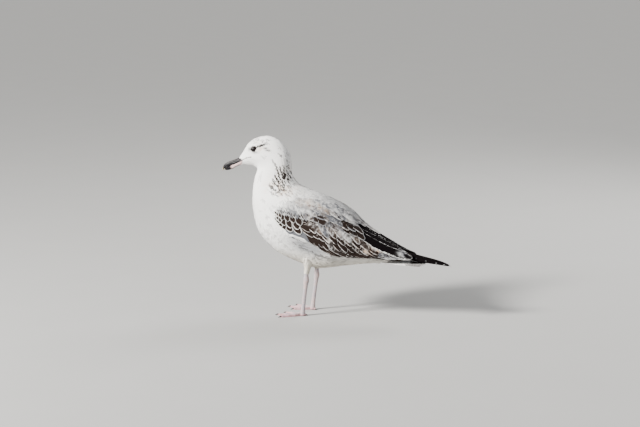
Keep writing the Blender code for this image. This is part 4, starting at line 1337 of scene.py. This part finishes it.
# Tracts of the folded wing, as seen from the side (y, z). roots and tips are curves through a few points;
# the feathers share them out evenly. half: half widths at the two ends of the tract; lift: height of the
# root and the tip over the wing; the rest is the pattern: where the dark centre begins inside the rim (mm),
# how deep, grey and buff it is, the white fringe's width (and the share of it that the upper edge keeps)
# and how much the centre breaks up. blunt and bend shape the vane. SPREADS says how far each value varies.
TRACTS = {
    "flight": [
        dict(count=14, roots=((-20, 200), (20, 192), (60, 186), (110, 180)),
             tips=((40, 164.5), (68, 150.5), (110, 146), (150, 146.5), (186, 148)), half=(7, 9),
             lift=(-2.6, -1.3), centre=0.6, depth=(1.0, 1.0, 1.0, 0.9), grey=0.9, buff=0.3, fringe=0.2,
             mottle=0.1, blunt=4.0, bend=0.03),
        dict(count=4, roots=((136, 160), (150, 158)), tips=((200, 142), (236, 144)), half=(5, 5.5),
             lift=(-1.9, -0.9), centre=1.6, depth=0.6, grey=1.05, buff=0.0, fringe=0.8, mottle=0.5,
             blunt=4.0, bend=0.03),
    ],
    "greater": [
        dict(count=5, roots=((-52, 220), (-34, 214), (-6, 208)), tips=((-38, 196), (-12, 184), (20, 178)),
             half=(8, 9.5), lift=(-1.9, -0.7), centre=9.0, depth=0.1, grey=1.9, buff=0.0, fringe=0.0,
             mottle=0.0, blunt=3.5, bend=0.03),
        dict(count=13, roots=((2, 208), (40, 202), (80, 196), (118, 186), (146, 182)),
             tips=((32, 174), (64, 165), (104, 159), (150, 153), (184, 156)), half=(9, 8.5),
             lift=(-2.0, -0.6), centre=1.1, depth=(1.0, 1.0, 0.95, 0.85), grey=0.9,
             buff=(0.2, 0.2, 0.3, 0.7), fringe=0.32, mottle=0.4, blunt=3.2, bend=0.05),
    ],
    "median": [
        dict(count=9, roots=((4, 214), (40, 214), (80, 208), (122, 194)),
             tips=((30, 191), (66, 181), (104, 174), (150, 164)), half=(8.5, 9.0), lift=(-1.7, -0.1),
             centre=1.4, depth=(0.95, 0.85, 0.85, 0.9), grey=0.9, buff=0.3, fringe=(1.3, 0.7), mottle=0.55,
             blunt=2.8, bend=0.05),
        dict(count=8, roots=((2, 224), (32, 226), (70, 220), (108, 206)),
             tips=((24, 204), (56, 196), (92, 188), (132, 177)), half=(8, 8.5), lift=(-1.5, 0.1),
             centre=1.6, depth=(0.9, 0.6, 0.65, 0.8), grey=0.9, buff=0.25, fringe=(1.1, 0.8), mottle=0.6,
             blunt=2.8, bend=0.05),
        dict(count=6, roots=((-61, 238), (-56, 231), (-47, 222), (-34, 218), (-14, 215)),
             tips=((-55, 225), (-48, 216.5), (-39, 208), (-22, 203), (-1, 199)), half=(5.2, 9.5),
             lift=(-1.2, 0.4), centre=1.9, depth=1.1, grey=0.4, buff=0.15, fringe=1.7, mottle=0.08,
             blunt=3.0, bend=0.02),
        dict(count=6, roots=((-63, 245), (-58, 240), (-49, 232), (-34, 227), (-12, 224)),
             tips=((-57, 232), (-50, 225), (-41, 217.5), (-24, 213), (-3, 209)), half=(5.0, 8.6),
             lift=(-1.0, 0.6), centre=2.0, depth=1.1, grey=0.5, buff=0.1, fringe=1.5, mottle=0.12,
             blunt=3.0, bend=0.02),
        dict(count=7, roots=((-62, 250), (-56, 246), (-45, 241), (-28, 237), (-6, 233)),
             tips=((-56, 238.5), (-49, 234), (-38, 228), (-20, 224), (2, 219)), half=(4.4, 7.6),
             lift=(-0.8, 0.8), centre=1.8, depth=(0.95, 1.0, 0.8), grey=0.8, buff=0.1, fringe=1.0,
             mottle=0.3, blunt=3.0, bend=0.02),
    ],
    "lesser": [
        dict(count=17, roots=((-58, 258), (-42, 255), (-20, 250), (14, 246)),
             tips=((-54, 243), (-38, 238), (-14, 233), (22, 227)), half=(3.0, 4.2), lift=(-0.7, 0.6),
             centre=1.2, depth=(0.5, 0.7, 0.7), grey=(0.7, 0.95), buff=0.0, fringe=0.0, mottle=0.5,
             blunt=1.8, bend=0.0),
        dict(count=18, roots=((-56, 266), (-38, 263), (-12, 259), (22, 254)),
             tips=((-51, 250), (-32, 245), (-4, 240), (32, 234)), half=(3.0, 4.2), lift=(-0.5, 0.7),
             centre=1.4, depth=(0.15, 0.4, 0.45), grey=(0.5, 0.9), buff=0.0, fringe=0.0, mottle=0.45,
             blunt=1.8, bend=0.0),
        dict(count=18, roots=((-50, 273), (-28, 271), (-2, 268), (30, 263)),
             tips=((-44, 256), (-22, 253), (8, 248), (44, 241)), half=(3.2, 4.4), lift=(-0.3, 0.8),
             centre=1.6, depth=(0.05, 0.25, 0.3), grey=(0.3, 0.85), buff=0.0, fringe=0.0, mottle=0.4,
             blunt=1.8, bend=0.0),
    ],
    "tertials": [
        dict(count=1, roots=((112, 215), (112, 215)), tips=((247, 146.5), (247, 146.5)), half=(12.8, 12.8),
             lift=(-1.6, -0.2), centre=0.6, depth=1.1, grey=0.5, buff=0.0, fringe=2.2, mottle=0.08,
             blunt=6.0, bend=-0.05, upper=0.15),
        dict(count=1, roots=((104, 228), (104, 228)), tips=((226, 163), (226, 163)), half=(8.0, 8.0),
             lift=(-1.2, 0.2), centre=0.2, depth=1.1, grey=0.5, buff=0.0, fringe=0.3, mottle=0.08,
             blunt=3.6, bend=-0.01, upper=0.0),
        dict(count=1, roots=((108, 222), (108, 222)), tips=((234, 158), (234, 158)), half=(6.5, 6.5),
             lift=(-1.3, 0.0), centre=0.2, depth=1.1, grey=0.5, buff=0.0, fringe=0.3, mottle=0.2, blunt=3.6,
             bend=-0.03, upper=0.0),
        dict(count=1, roots=((97, 237), (97, 237)), tips=((204, 176), (204, 176)), half=(6.5, 6.5),
             lift=(-0.8, 0.6), centre=0.2, depth=1.1, grey=0.5, buff=0.0, fringe=0.25, mottle=0.08,
             blunt=3.6, bend=0.0, upper=0.0),
        dict(count=1, roots=((92, 247), (92, 247)), tips=((169, 197.5), (169, 197.5)), half=(4.6, 4.6),
             lift=(-0.4, 1.0), centre=2.0, depth=0.25, grey=0.6, buff=0.1, fringe=0.7, mottle=0.4,
             blunt=3.6, bend=0.0),
    ],
    "scapulars": [
        dict(count=9, roots=((-2, 246), (30, 240), (66, 232), (98, 220)),
             tips=((30, 228), (64, 216), (102, 202), (140, 186)), half=(8, 9.5), lift=(-0.8, 1.1),
             centre=2.0, depth=(0.4, 0.6, 0.95), grey=(0.95, 1.05), buff=0.1, fringe=(0.3, 0.7), mottle=0.5,
             blunt=2.8, bend=0.04),
        dict(count=9, roots=((-10, 258), (26, 252), (62, 244), (94, 232)),
             tips=((24, 241), (62, 229), (98, 214), (136, 196)), half=(8, 9.5), lift=(-0.4, 1.4),
             centre=2.4, depth=(0.12, 0.45, 0.9), grey=(0.95, 1.05), buff=0.1, fringe=(0.0, 0.6),
             mottle=0.4, blunt=2.8, bend=0.03),
        dict(count=10, roots=((-14, 268), (20, 264), (54, 257), (86, 244)),
             tips=((20, 253), (56, 244), (92, 229), (124, 212)), half=(7.5, 8.5), lift=(0.0, 1.6),
             centre=2.8, depth=(0.1, 0.3, 0.75), grey=(0.85, 1.0), buff=0.1, fringe=(0.2, 0.6), mottle=0.4,
             blunt=2.8, bend=0.02),
        dict(count=10, roots=((-14, 276), (16, 273), (48, 267), (76, 256), (96, 244)),
             tips=((18, 263), (50, 256), (82, 243), (110, 227), (138, 210)), half=(7.0, 8.0),
             lift=(0.2, 1.6), centre=2.2, depth=(0.05, 0.12, 0.45), grey=(0.7, 0.9), buff=0.1, fringe=0.5,
             mottle=0.3, blunt=2.8, bend=0.0),
    ],
}
SPREADS = {"depth": 0.13, "centre": 0.4, "grey": 0.12, "buff": 0.12, "mottle": 0.10, "fringe": 0.25}
PATTERN = ("centre", "depth", "grey", "buff", "fringe", "mottle")
# Marks that lie over several feathers of a tract: the value they change, middle (y, z), spreads along and
# across, turn in degrees, and by how much.
MARKS = {
    "greater": (
        ("depth", 22, 200, 12, 9, -40, 0.3), ("buff", 172, 172, 9, 6, -35, 0.7),
        ("depth", 176, 168, 8, 5, -35, -0.9), ("depth", 145, 160, 7, 5, -30, -0.8),
        ("buff", 148, 162, 8, 5, -30, 0.4), ("depth", 161, 172, 10, 6, -42, -0.95),
        ("buff", 163, 172, 9, 6, -40, 0.4), ("grey", 160, 173, 9, 5, -40, -0.4),
    ),
    "median": (
        ("depth", 22, 205, 15, 10, -40, 0.4), ("mottle", 22, 205, 12, 9, -40, -0.4),
        ("depth", 52, 207, 12, 7, -20, -0.35), ("grey", 52, 207, 12, 7, -20, 0.1),
        ("depth", 78, 189, 9, 6, -40, 0.5), ("depth", 66, 187, 4, 12, -20, -0.6),
        ("grey", 66, 187, 4, 12, -20, -0.5), ("depth", 96, 200, 16, 7, -35, -0.4),
        ("grey", 96, 200, 16, 7, -35, -0.3), ("depth", 110, 187, 9, 6, -35, -0.5),
        ("grey", 110, 187, 9, 6, -35, -0.4),
    ),
    "tertials": (
        ("depth", 226, 154, 13, 7, -20, -0.95), ("grey", 226, 156, 16, 8, -20, 0.5),
        ("mottle", 226, 154, 16, 8, -20, 0.5), ("depth", 231, 151, 4, 3, -20, 1.0),
        ("depth", 218, 158, 5, 2, -20, 0.9), ("depth", 210, 155, 4, 2, -20, -0.7),
    ),
    "scapulars": (
        ("depth", 45, 232, 17, 8, -22, 0.9), ("mottle", 45, 233, 22, 9, -22, -0.3),
        ("depth", 116, 207, 24, 6, -34, 0.35), ("depth", 96, 203, 12, 5, -35, -0.4),
        ("depth", 108, 228, 16, 4, -45, -0.6), ("grey", 108, 228, 16, 4, -45, -0.7),
        ("buff", 14, 266, 14, 6, -20, 0.4), ("buff", 46, 254, 14, 5, -25, 0.5),
        ("depth", 24, 262, 7, 3, -15, 0.45), ("depth", 37, 260, 5, 3, -15, 0.4),
        ("depth", 60, 244, 10, 3, -25, 0.3),
    ),
}


def atlas(rings):
    """A bake map with one cell for each vane, so that its own pattern stays on it."""
    count = len(rings)
    cells = int(np.ceil(np.sqrt(count)))
    width = 1.0 / cells
    column, row = np.arange(count) % cells, np.arange(count) // cells
    u = (column[:, None, None] + 0.5 + 0.46 * ROUND_VANE[None, None, :]) * width + 0 * rings[..., 0]
    v = (row[:, None, None] + 0.04 + 0.92 * VANE_T[None, :, None]) * width + 0 * rings[..., 0]
    return np.stack([u, v], -1)


WING_TILT = 0.45  # how far the lower edge of a wing feather is raised, so that it covers the next below


def curve_points(points, count):
    """Points shared out evenly along a curve through a few given ones."""
    points = np.asarray(points, float)
    return smooth_table(points, np.linspace(0, len(points) - 1, count))


def tract_shape(tract, rng):
    """The vanes of one tract, with the values that every vane has, and their centre lines."""
    count = tract["count"]
    roots = curve_points(tract["roots"], count) + rng.normal(0, 0.8, (count, 2))
    tips = curve_points(tract["tips"], count) + rng.normal(0, 1.1, (count, 2))
    line, normal = side_lines(roots, tips, tract["bend"])
    half = np.linspace(*tract["half"], count) * rng.uniform(0.94, 1.08, count)
    low, high = tract["lift"]
    lift = low + (high - low) * VANE_T[None, :] + rng.normal(0, 0.1, count)[:, None]
    blunt = tract["blunt"] * rng.uniform(0.85, 1.2, count)
    tilt = np.full(count, WING_TILT)
    rings, values = vane_rings(line, normal, half, lift, tilt, blunt, chart=on_side)
    return rings, values, line


def tract_rings(tract, marks, rng):
    """The vanes of one tract with their pattern: a value for the whole tract, or several shared out along it,
    with small differences from feather to feather, and then the marks that lie over several feathers."""
    rings, values, _ = tract_shape(tract, rng)
    count = len(rings)
    for key in PATTERN:
        given = np.atleast_1d(np.array(tract[key], float))
        each = np.interp(np.linspace(0, 1, count), np.linspace(0, 1, len(given)), given)
        each = each + rng.normal(0, SPREADS[key], count) * (each > 0)
        values[key] = np.broadcast_to(each[:, None, None], rings.shape[:3]).copy()
    values["fringe"] = values["fringe"] * np.where(ROUND_VANE < 0.0, 1.0, tract.get("upper", 1.0))
    for key, y, z, spread_y, spread_z, turn, amount in marks:
        values[key] += amount * blob(rings[..., 1], rings[..., 2], y, z, spread_y, spread_z, turn)
    for key in PATTERN:
        values[key] = np.maximum(values[key], 0.0)
    return rings, values


SOFT_TRACTS = {
    "flank": [
        dict(count=30, roots=((-66, 224), (-54, 202), (-36, 180), (-8, 168), (18, 157), (36, 146)),
             tips=((-48, 198), (-34, 182), (-10, 168), (22, 160), (48, 148), (70, 144)), half=(2.8, 3.2),
             lift=(-2.8, -0.2), bend=0.05, blunt=1.7),
        dict(count=34, roots=((-68, 234), (-56, 212), (-40, 190), (-12, 177), (14, 165), (36, 152)),
             tips=((-53, 211), (-38, 195), (-16, 180), (14, 174), (42, 158), (68, 146.5)), half=(2.7, 3.1),
             lift=(-2.2, 0.1), bend=0.05, blunt=1.7),
        dict(count=38, roots=((-70, 246), (-60, 224), (-44, 203), (-18, 188), (10, 176), (36, 160)),
             tips=((-61, 228), (-48, 208), (-28, 193), (6, 186.5), (38, 167), (67, 149.5)), half=(2.4, 2.8),
             lift=(-1.6, 0.5), bend=0.03, blunt=1.7),
    ],
    "shoulder": [
        dict(count=22, roots=((-72, 244), (-66, 262), (-50, 279), (-30, 287)),
             tips=((-60, 232), (-53, 247), (-34, 264), (-12, 273)), half=(2.4, 3.2), lift=(-1.4, 0.3),
             bend=0.03, blunt=1.7),
        dict(count=22, roots=((-74, 252), (-67, 270), (-48, 285), (-26, 292)),
             tips=((-63, 240), (-56, 256), (-36, 271), (-8, 280)), half=(2.4, 3.2), lift=(-1.2, 0.5),
             bend=0.03, blunt=1.7),
    ],
}


def join_vanes(parts):
    """The vanes and values of several tracts as one."""
    rings = np.concatenate([p[0] for p in parts])
    return rings, {key: np.concatenate([p[1][key] for p in parts]) for key in parts[0][1]}


def make_soft_tracts(name, side, rng):
    """White body feathers that lie over the wing's lower and front edges."""
    for tract_name, tracts in SOFT_TRACTS.items():
        parts = []
        for tract in tracts:
            rings, values, line = tract_shape(tract, rng)
            found = markings(line, rng.uniform(0.0, 1.0, (len(line), 1)))
            # The grey here carries the painted shade of the flank under the wing.
            found["grey"] = np.clip(found["grey"] + rng.normal(0.0, 0.07, (len(line), 1)), 0.1, 0.8)
            found = {key: np.broadcast_to(v[:, :, None], rings.shape[:3]) for key, v in found.items()}
            parts.append((rings, found | {"middle": values["middle"]}))
        rings, values = join_vanes(parts)
        kept = {"values": values, "patch": atlas(rings), "smooth": False}
        piece(f"{tract_name}_{name}", mirrored(rings, side), "coat", "body_plumage", **kept)


CORE_ROWS, CORE_ACROSS = 90, 33
CORE_DEPTH = 2.9  # the core lies this far under the wing's outer face
CORE_EDGE, CORE_SHARE = 0.4, 0.7  # its thickness at the edges, and in the middle as a share of the wing's
CORE_PATTERN = {
    "rim": 3.0, "middle": 0.3, "along": 0.5, "barb": 0.0, "centre": 1.0, "depth": 1.0, "grey": 0.5,
    "buff": 0.2, "fringe": 0.0, "mottle": 0.0,
}


def make_wing_core(name, side):
    """The wing's body as one closed sheet, dark, just under its outer face."""
    ys = np.linspace(WING[0, 0], WING[-1, 0], CORE_ROWS)
    shares = np.linspace(0, 1, CORE_ACROSS)[None, :]
    outer = wing_section(ys, shares)
    normal = -grid_normals(outer, False)
    thick = np.interp(ys, WING[:, 0], WING[:, 6])[:, None] * 4 * shares * (1 - shares) * CORE_SHARE
    top = outer - normal * CORE_DEPTH
    bottom = top - normal * (CORE_EDGE + thick)[..., None]
    rings = mirrored(ring_pairs(top[None], bottom[None]), side)
    values = {key: np.full(rings.shape[:3], v) for key, v in CORE_PATTERN.items()}
    piece("wing_core_" + name, rings, "wing", "wing_plumage", "wing_" + name, values=values)


def make_wing(name, side, rng):
    """A folded wing: its core, then its tracts from the flight feathers up."""
    make_wing_core(name, side)
    for tract_name, tracts in TRACTS.items():
        rings, values = join_vanes([tract_rings(t, MARKS.get(tract_name, ()), rng) for t in tracts])
        material = "flight" if tract_name == "tertials" else "wing"
        kept = {"values": values, "patch": atlas(rings)}
        piece(f"{tract_name}_{name}", mirrored(rings, side), material, "wing_plumage", **kept)


def blade_point(flat):
    """Point on a blade seen from the side: x runs from its lower to its upper edge."""
    row = np.moveaxis(table_at(BLADE, flat[..., 0]), -1, 0)
    share = np.clip((flat[..., 1] - row[2]) / np.maximum(row[4] - row[2], 1.0), -0.2, 1.1)
    return np.stack([row[1] + share * (row[3] - row[1]), flat[..., 0], flat[..., 1]], -1)


PRIMARIES = (  # root (y, z), tip (y, z), half width, from the longest to the shortest
    ((168, 157), (329.5, 128.0), 9.8), ((168, 157), (317, 129.6), 9.6), ((166, 158), (299, 132.4), 9.4),
    ((164, 159), (276, 136.6), 9.2), ((162, 160), (254, 141.5), 9.0),
)
PRIMARY_BEND, PRIMARY_TILT, PRIMARY_POINT = 0.012, 0.15, 2.1
PRIMARY_LIFTS = (-0.6, 0.55)  # of the longest over the blade, and of each shorter one over the one before
PRIMARY_FACE = (0.80, 0.0, 0.60)  # the way their upper faces look, out and up
RIGHT_SHORTER = 5.0  # the right wing's long feathers end this far before the left's
PRIMARY_PATTERN = {"centre": -2.0, "depth": 1.2, "grey": 0.0, "buff": 0.0, "fringe": 0.0, "mottle": 0.0}


def make_primaries(name, side):
    """The long flight feathers, each shorter one lying outside the next, with small white tips."""
    shorter = RIGHT_SHORTER if side < 0 else 0.0
    roots = np.array([p[0] for p in PRIMARIES], float)
    tips = np.array([p[1] for p in PRIMARIES], float) - (shorter, 0.0)
    half = np.array([p[2] for p in PRIMARIES])
    count = len(half)
    line = blade_point(bent_lines(roots, tips, PRIMARY_BEND))
    normal = np.broadcast_to(unit(np.array(PRIMARY_FACE)), line.shape)
    lowest, rise = PRIMARY_LIFTS
    lift = lowest + rise * np.arange(count)[:, None] + 0 * line[..., 0]
    tilt, blunt = np.full(count, PRIMARY_TILT), np.full(count, PRIMARY_POINT)
    rings, values = vane_rings(line, normal, half, lift, tilt, blunt, root=0.75, thick=0.5)
    values |= {key: np.full(rings.shape[:3], v) for key, v in PRIMARY_PATTERN.items()}
    values["fringe"] = 1.7 * step(0.985, 1.0, values["along"])
    kept = {"values": values, "patch": atlas(rings)}
    rings = mirrored(rings, side)
    piece("primaries_long_" + name, rings, "flight", "flight_feathers", "primaries_" + name, **kept)


TAIL_PLACES = np.array([0.07, 0.22, 0.38, 0.54, 0.7, 0.86])  # of the tail's half width, from the middle pair
TAIL_HALF = 8.4
TAIL_PATTERN = {"centre": 0.6, "grey": 0.0, "buff": 0.08, "mottle": 0.4}


def make_tail():
    """Twelve closed tail feathers, the middle pair on top: white, with a dark band short of the tip."""
    u = np.concatenate([-TAIL_PLACES[::-1], TAIL_PLACES])
    count = len(u)
    t = VANE_T[None, :]
    place = TAIL_ROOT + t[..., None] * (TAIL_TIP - TAIL_ROOT)
    x = u[:, None] * place[..., 1]
    y = place[..., 0] - TAIL_ROUNDING * np.abs(u[:, None]) ** 2.5 * t**2
    z = place[..., 2] - TAIL_ARCH * u[:, None] ** 2
    line = np.stack([x, y, z], -1)
    normal = np.broadcast_to(np.array([0.0, 0.0, 1.0]), line.shape)
    half, tilt, blunt = np.full(count, TAIL_HALF), np.zeros(count), np.full(count, 5.0)
    lift = 0.7 - 1.5 * np.abs(u)[:, None] + 0 * t
    rings, values = vane_rings(line, normal, half, lift, tilt, blunt, root=0.7, thick=0.5)
    values |= {key: np.full(rings.shape[:3], v) for key, v in TAIL_PATTERN.items()}
    values["fringe"] = 0.9 * step(0.95, 1.0, values["along"])
    band = step(0.52, 0.72, values["along"]) * step(1.0, 0.95, values["along"])
    values["depth"] = 0.92 * band + 0.02
    piece("tail_feathers", rings, "tail", "tail_feathers", "tail", values=values, patch=atlas(rings))


# --------------------------------------------------------------------------------------- bill and eyes


BILL_ROWS, BILL_AROUND = 70, 33
BILL_GAP = 0.25  # the two halves stand this far from the shut line, inside their rims
# Each half: its stations, the power of the cosine across it and that of the sine up it.
BILL_HALVES = {"upper": (BILL_UPPER, 0.80, 0.86), "lower": (BILL_LOWER, 0.72, 0.86)}


def bill_rings(name):
    """Half a bill: sections x = half width * cos^a, z = shut line + (ridge - shut line) * sin^b, closed flat
    along the shut line, with the nostril pressed into the upper one as a slit. Returns its rings and how
    near its ridge each point lies."""
    table, across, up = BILL_HALVES[name]
    upper = name == "upper"
    rows = smooth_table(table, np.linspace(0, len(table) - 1, BILL_ROWS))
    a = np.linspace(0, np.pi, BILL_AROUND)
    y, ridge, shut, wide = (rows[:, k, None] + 0 * a for k in range(4))
    x = wide * power(np.cos(a), across)
    z = shut + (ridge - shut) * power(np.sin(a), up)
    if upper:
        along = (y - NOSTRIL["y"]) / NOSTRIL["half_length"]
        middle = shut + (ridge - shut) * NOSTRIL["height"]
        slit = np.exp(-(along**4)) * np.exp(-(((z - middle) / NOSTRIL["half_height"]) ** 2))
        x = x - np.sign(x) * NOSTRIL["depth"] * slit
    outer = np.stack([x, y, z], -1)
    gap = BILL_GAP if upper else -BILL_GAP
    inner = np.stack([np.linspace(1, -1, BILL_AROUND) * wide * 0.92, y, shut + gap], -1)
    on_ridge = np.sin(a) ** 8 * np.ones_like(y)
    return ring_pairs(outer[None], inner[None]), np.concatenate([on_ridge, 0 * on_ridge], axis=1)[None]


def make_bill():
    """Both halves of the bill. base and tip say where the horn is pale, and ridge where painted sheen greys
    it.
    """
    for name, (table, *_) in BILL_HALVES.items():
        rings, ridge = bill_rings(name)
        y, z = rings[..., 1], rings[..., 2]
        if name == "upper":
            base = step(-163.0, -157.0, y) * 0.25
            tip = step(-199.0, -201.2, y)
            # Painted sheen along the upper ridge, from the base to the hook.
            ridge = ridge * step(-159.0, -164.0, y) * step(-199.0, -186.0, y)
        else:
            height = (z - np.interp(y, table[::-1, 0], table[::-1, 1])) / 8.0
            base = step(-182.0, -175.0, y + 2.0 * height) * step(0.10, 0.22, height)
            tip = step(-193.5, -196.0, y) * 0.6
            ridge = 0 * ridge
        values = {"base": base, "tip": tip, "ridge": ridge + 0 * y}
        piece(f"bill_{name}_horn", rings, "bill_" + name, "bill", "bill_" + name, values=values)


BARE_ROWS, BARE_AROUND = 30, 15
BARE_START = -0.6  # the shells begin this far inside the bill's base
BARE_THICK = 1.2


def make_gape(name, side):
    """The bare skin behind the bill, above and below the mouth: thin shells on the face that narrow to the
    corner of the mouth, domed by sin(pi * share of their height)."""
    arc = np.linspace(BARE_START, BARE_ARC[-1], BARE_ROWS)[:, None]
    share = np.linspace(0, 1, BARE_AROUND)[None, :]
    top, mouth, low = (np.interp(arc, BARE_ARC, given) for given in (BARE_TOP, MOUTH, BARE_LOW))
    edges = {"upper": (top - 3.0, mouth - 2.0), "lower": (mouth + 2.0, low + 3.0)}
    for part, (first, last) in edges.items():
        angle = np.radians(first + (last - first) * share)
        place, normal = on_body(arc + 0 * angle, angle)
        dome = 0.30 * np.sin(np.pi * share) - 0.12 - 0.5 * step(1.0, BARE_START, arc) + 0 * angle
        outer = place + normal * dome[..., None]
        inner = place - normal * BARE_THICK
        rings = mirrored(ring_pairs(outer[None], inner[None]), side)
        base = (0.12 + 0.45 * step(5.0, 11.0, arc)) if part == "upper" else np.ones_like(arc)
        base = np.broadcast_to(base[None], rings.shape[:3])
        values = {"base": base, "tip": 0 * base, "ridge": 0 * base}
        piece(f"gape_{part}_{name}", rings, "bill_" + part, "bill", values=values)


EYE_POINTS = 48  # round an eyeball and from its front to its back
CORNEA_RISE, CORNEA_SPREAD = 0.35, 4.0
GAZE = (0.97, -0.2, -0.05)  # the way the left eye looks
BACK_OF_EYE = 9.0  # distance from the gaze given to the eye's rear half, past the iris


def make_eye(name, side):
    """An eyeball with a slightly raised cornea: radius + rise * exp(-(distance from the gaze / spread)^4)."""
    polar = np.linspace(0.02, np.pi - 0.02, EYE_POINTS)[:, None]
    a = np.arange(EYE_POINTS)[None, :] * TURN / EYE_POINTS
    front = polar < np.pi / 2
    reach = EYE_RADIUS * np.sin(polar) + 0 * a
    radius = EYE_RADIUS - 0.1 + CORNEA_RISE * np.exp(-((reach / CORNEA_SPREAD) ** 4)) * front
    x = radius * np.cos(polar) + 0 * a
    y = radius * np.sin(polar) * np.cos(a)
    z = radius * np.sin(polar) * np.sin(a)
    gaze = unit(np.array(GAZE))
    forward = unit(np.cross((0.0, 0.0, 1.0), gaze))
    up = np.cross(gaze, forward)
    points = x[..., None] * gaze + y[..., None] * forward + z[..., None] * up
    rings = mirrored((points + EYE)[None], side)
    values = {"gaze": np.where(front, reach, BACK_OF_EYE)}
    piece("eyeball_" + name, rings, "eye", "eye", "eye_" + name, values=values)


# ------------------------------------------------------------------------------- floor, lights, camera


FLOOR_HALF = 4e4  # mm
FLOOR_TONES = (0.325, 0.325, 0.321, 1.0), (0.34, 0.34, 0.336, 1.0)
AIR_COLOUR, AIR_STRENGTH = (0.92, 0.93, 0.95, 1.0), 0.42


def make_stage():
    """A plain pale floor, and even light from all round."""
    made, net, shader = new_material("floor_paint", 0.7, 0.3)
    net.put(shader.inputs["Base Color"], net.mix(net.noise(6.0, 2.0), *FLOOR_TONES))
    corners = FLOOR_HALF * np.array([(-1, -1, 0), (1, -1, 0), (1, 1, 0), (-1, 1, 0)], float)
    floor = mesh_object("floor", corners, np.array([[0, 1, 2, 3]]), smooth=False)
    floor.data.materials.append(made)
    world = bpy.data.worlds.new("studio")
    bpy.context.scene.world = world
    world.use_nodes = True
    air = world.node_tree.nodes["Background"]
    air.inputs["Color"].default_value = AIR_COLOUR
    air.inputs["Strength"].default_value = AIR_STRENGTH


# Lights: kind, place in metres, size, power, colour. A round soft lamp has a size in metres and a power in
# watts; far daylight has a width in radians and a strength in watts a square metre.
LIGHTS = {
    "daylight": ("SUN", (1.6, -2.1, 1.75), 0.20, 7.4, (1.0, 0.975, 0.93)),
    "key": ("AREA", (1.6, -2.1, 1.75), 0.6, 190.0, (1.0, 0.975, 0.93)),
    "fill": ("AREA", (2.0, 1.8, 0.9), 1.6, 14.0, (0.93, 0.96, 1.0)),
    "rim": ("AREA", (-1.6, 0.9, 1.6), 1.0, 45.0, (1.0, 0.98, 0.95)),
}
LIT_PLACE = Vector((0.0, -0.02, 0.22))


def look(obj, place, direction):
    """Puts a light or a camera at a place, looking in a direction, and links it to the scene."""
    obj.location = place
    obj.rotation_mode = "QUATERNION"
    obj.rotation_quaternion = direction.to_track_quat("-Z", "Y")
    bpy.context.scene.collection.objects.link(obj)


def make_lights():
    for name, (kind, place, size, power, colour) in LIGHTS.items():
        light = bpy.data.lights.new(name, kind)
        if kind == "AREA":
            light.shape = "DISK"
            light.size = size
        else:
            light.angle = size
        light.energy = power
        light.color = colour
        look(bpy.data.objects.new(name, light), place, LIT_PLACE - Vector(place))


CAMERA_BEHIND = 14.0  # degrees behind square on to the bird's left side
CAMERA_ABOVE = 10.8  # degrees above level
CAMERA_AWAY = 3.68
VIEW_MIDDLE = (0.0276, 0.2277)  # the middle of the view, right of and above the feet as the camera sees them
LENS, SENSOR = 90.0, 36.0


def make_camera():
    """A long lens from the bird's left, a little behind square on and above it.

    Two angles give the direction from the bird to the camera. The view's right and up, both square to it,
    place the middle of the view from the line between the feet, and the camera stands back from there.
    """
    camera = bpy.data.cameras.new("camera")
    camera.lens = LENS
    camera.sensor_width = SENSOR
    obj = bpy.data.objects.new("camera", camera)
    behind, above = np.radians((CAMERA_BEHIND, CAMERA_ABOVE))
    away = Vector((np.cos(behind) * np.cos(above), np.sin(behind) * np.cos(above), np.sin(above)))
    right = Vector((-np.sin(behind), np.cos(behind), 0.0))
    middle = VIEW_MIDDLE[0] * right + VIEW_MIDDLE[1] * away.cross(right)
    feet = Vector((0.0, -MIDDLE * MM, 0.0))
    look(obj, feet + middle + CAMERA_AWAY * away, -away)
    bpy.context.scene.camera = obj


SEED = 7


def main():
    rng = np.random.default_rng(SEED)
    make_skin()
    make_coat(rng)
    make_thighs(rng)
    for name, side in (("left", 1), ("right", -1)):
        make_wing(name, side, rng)
        make_soft_tracts(name, side, rng)
        make_primaries(name, side)
        make_eye(name, side)
        make_gape(name, side)
    make_tail()
    make_bill()
    make_stage()
    make_lights()
    make_camera()


main()
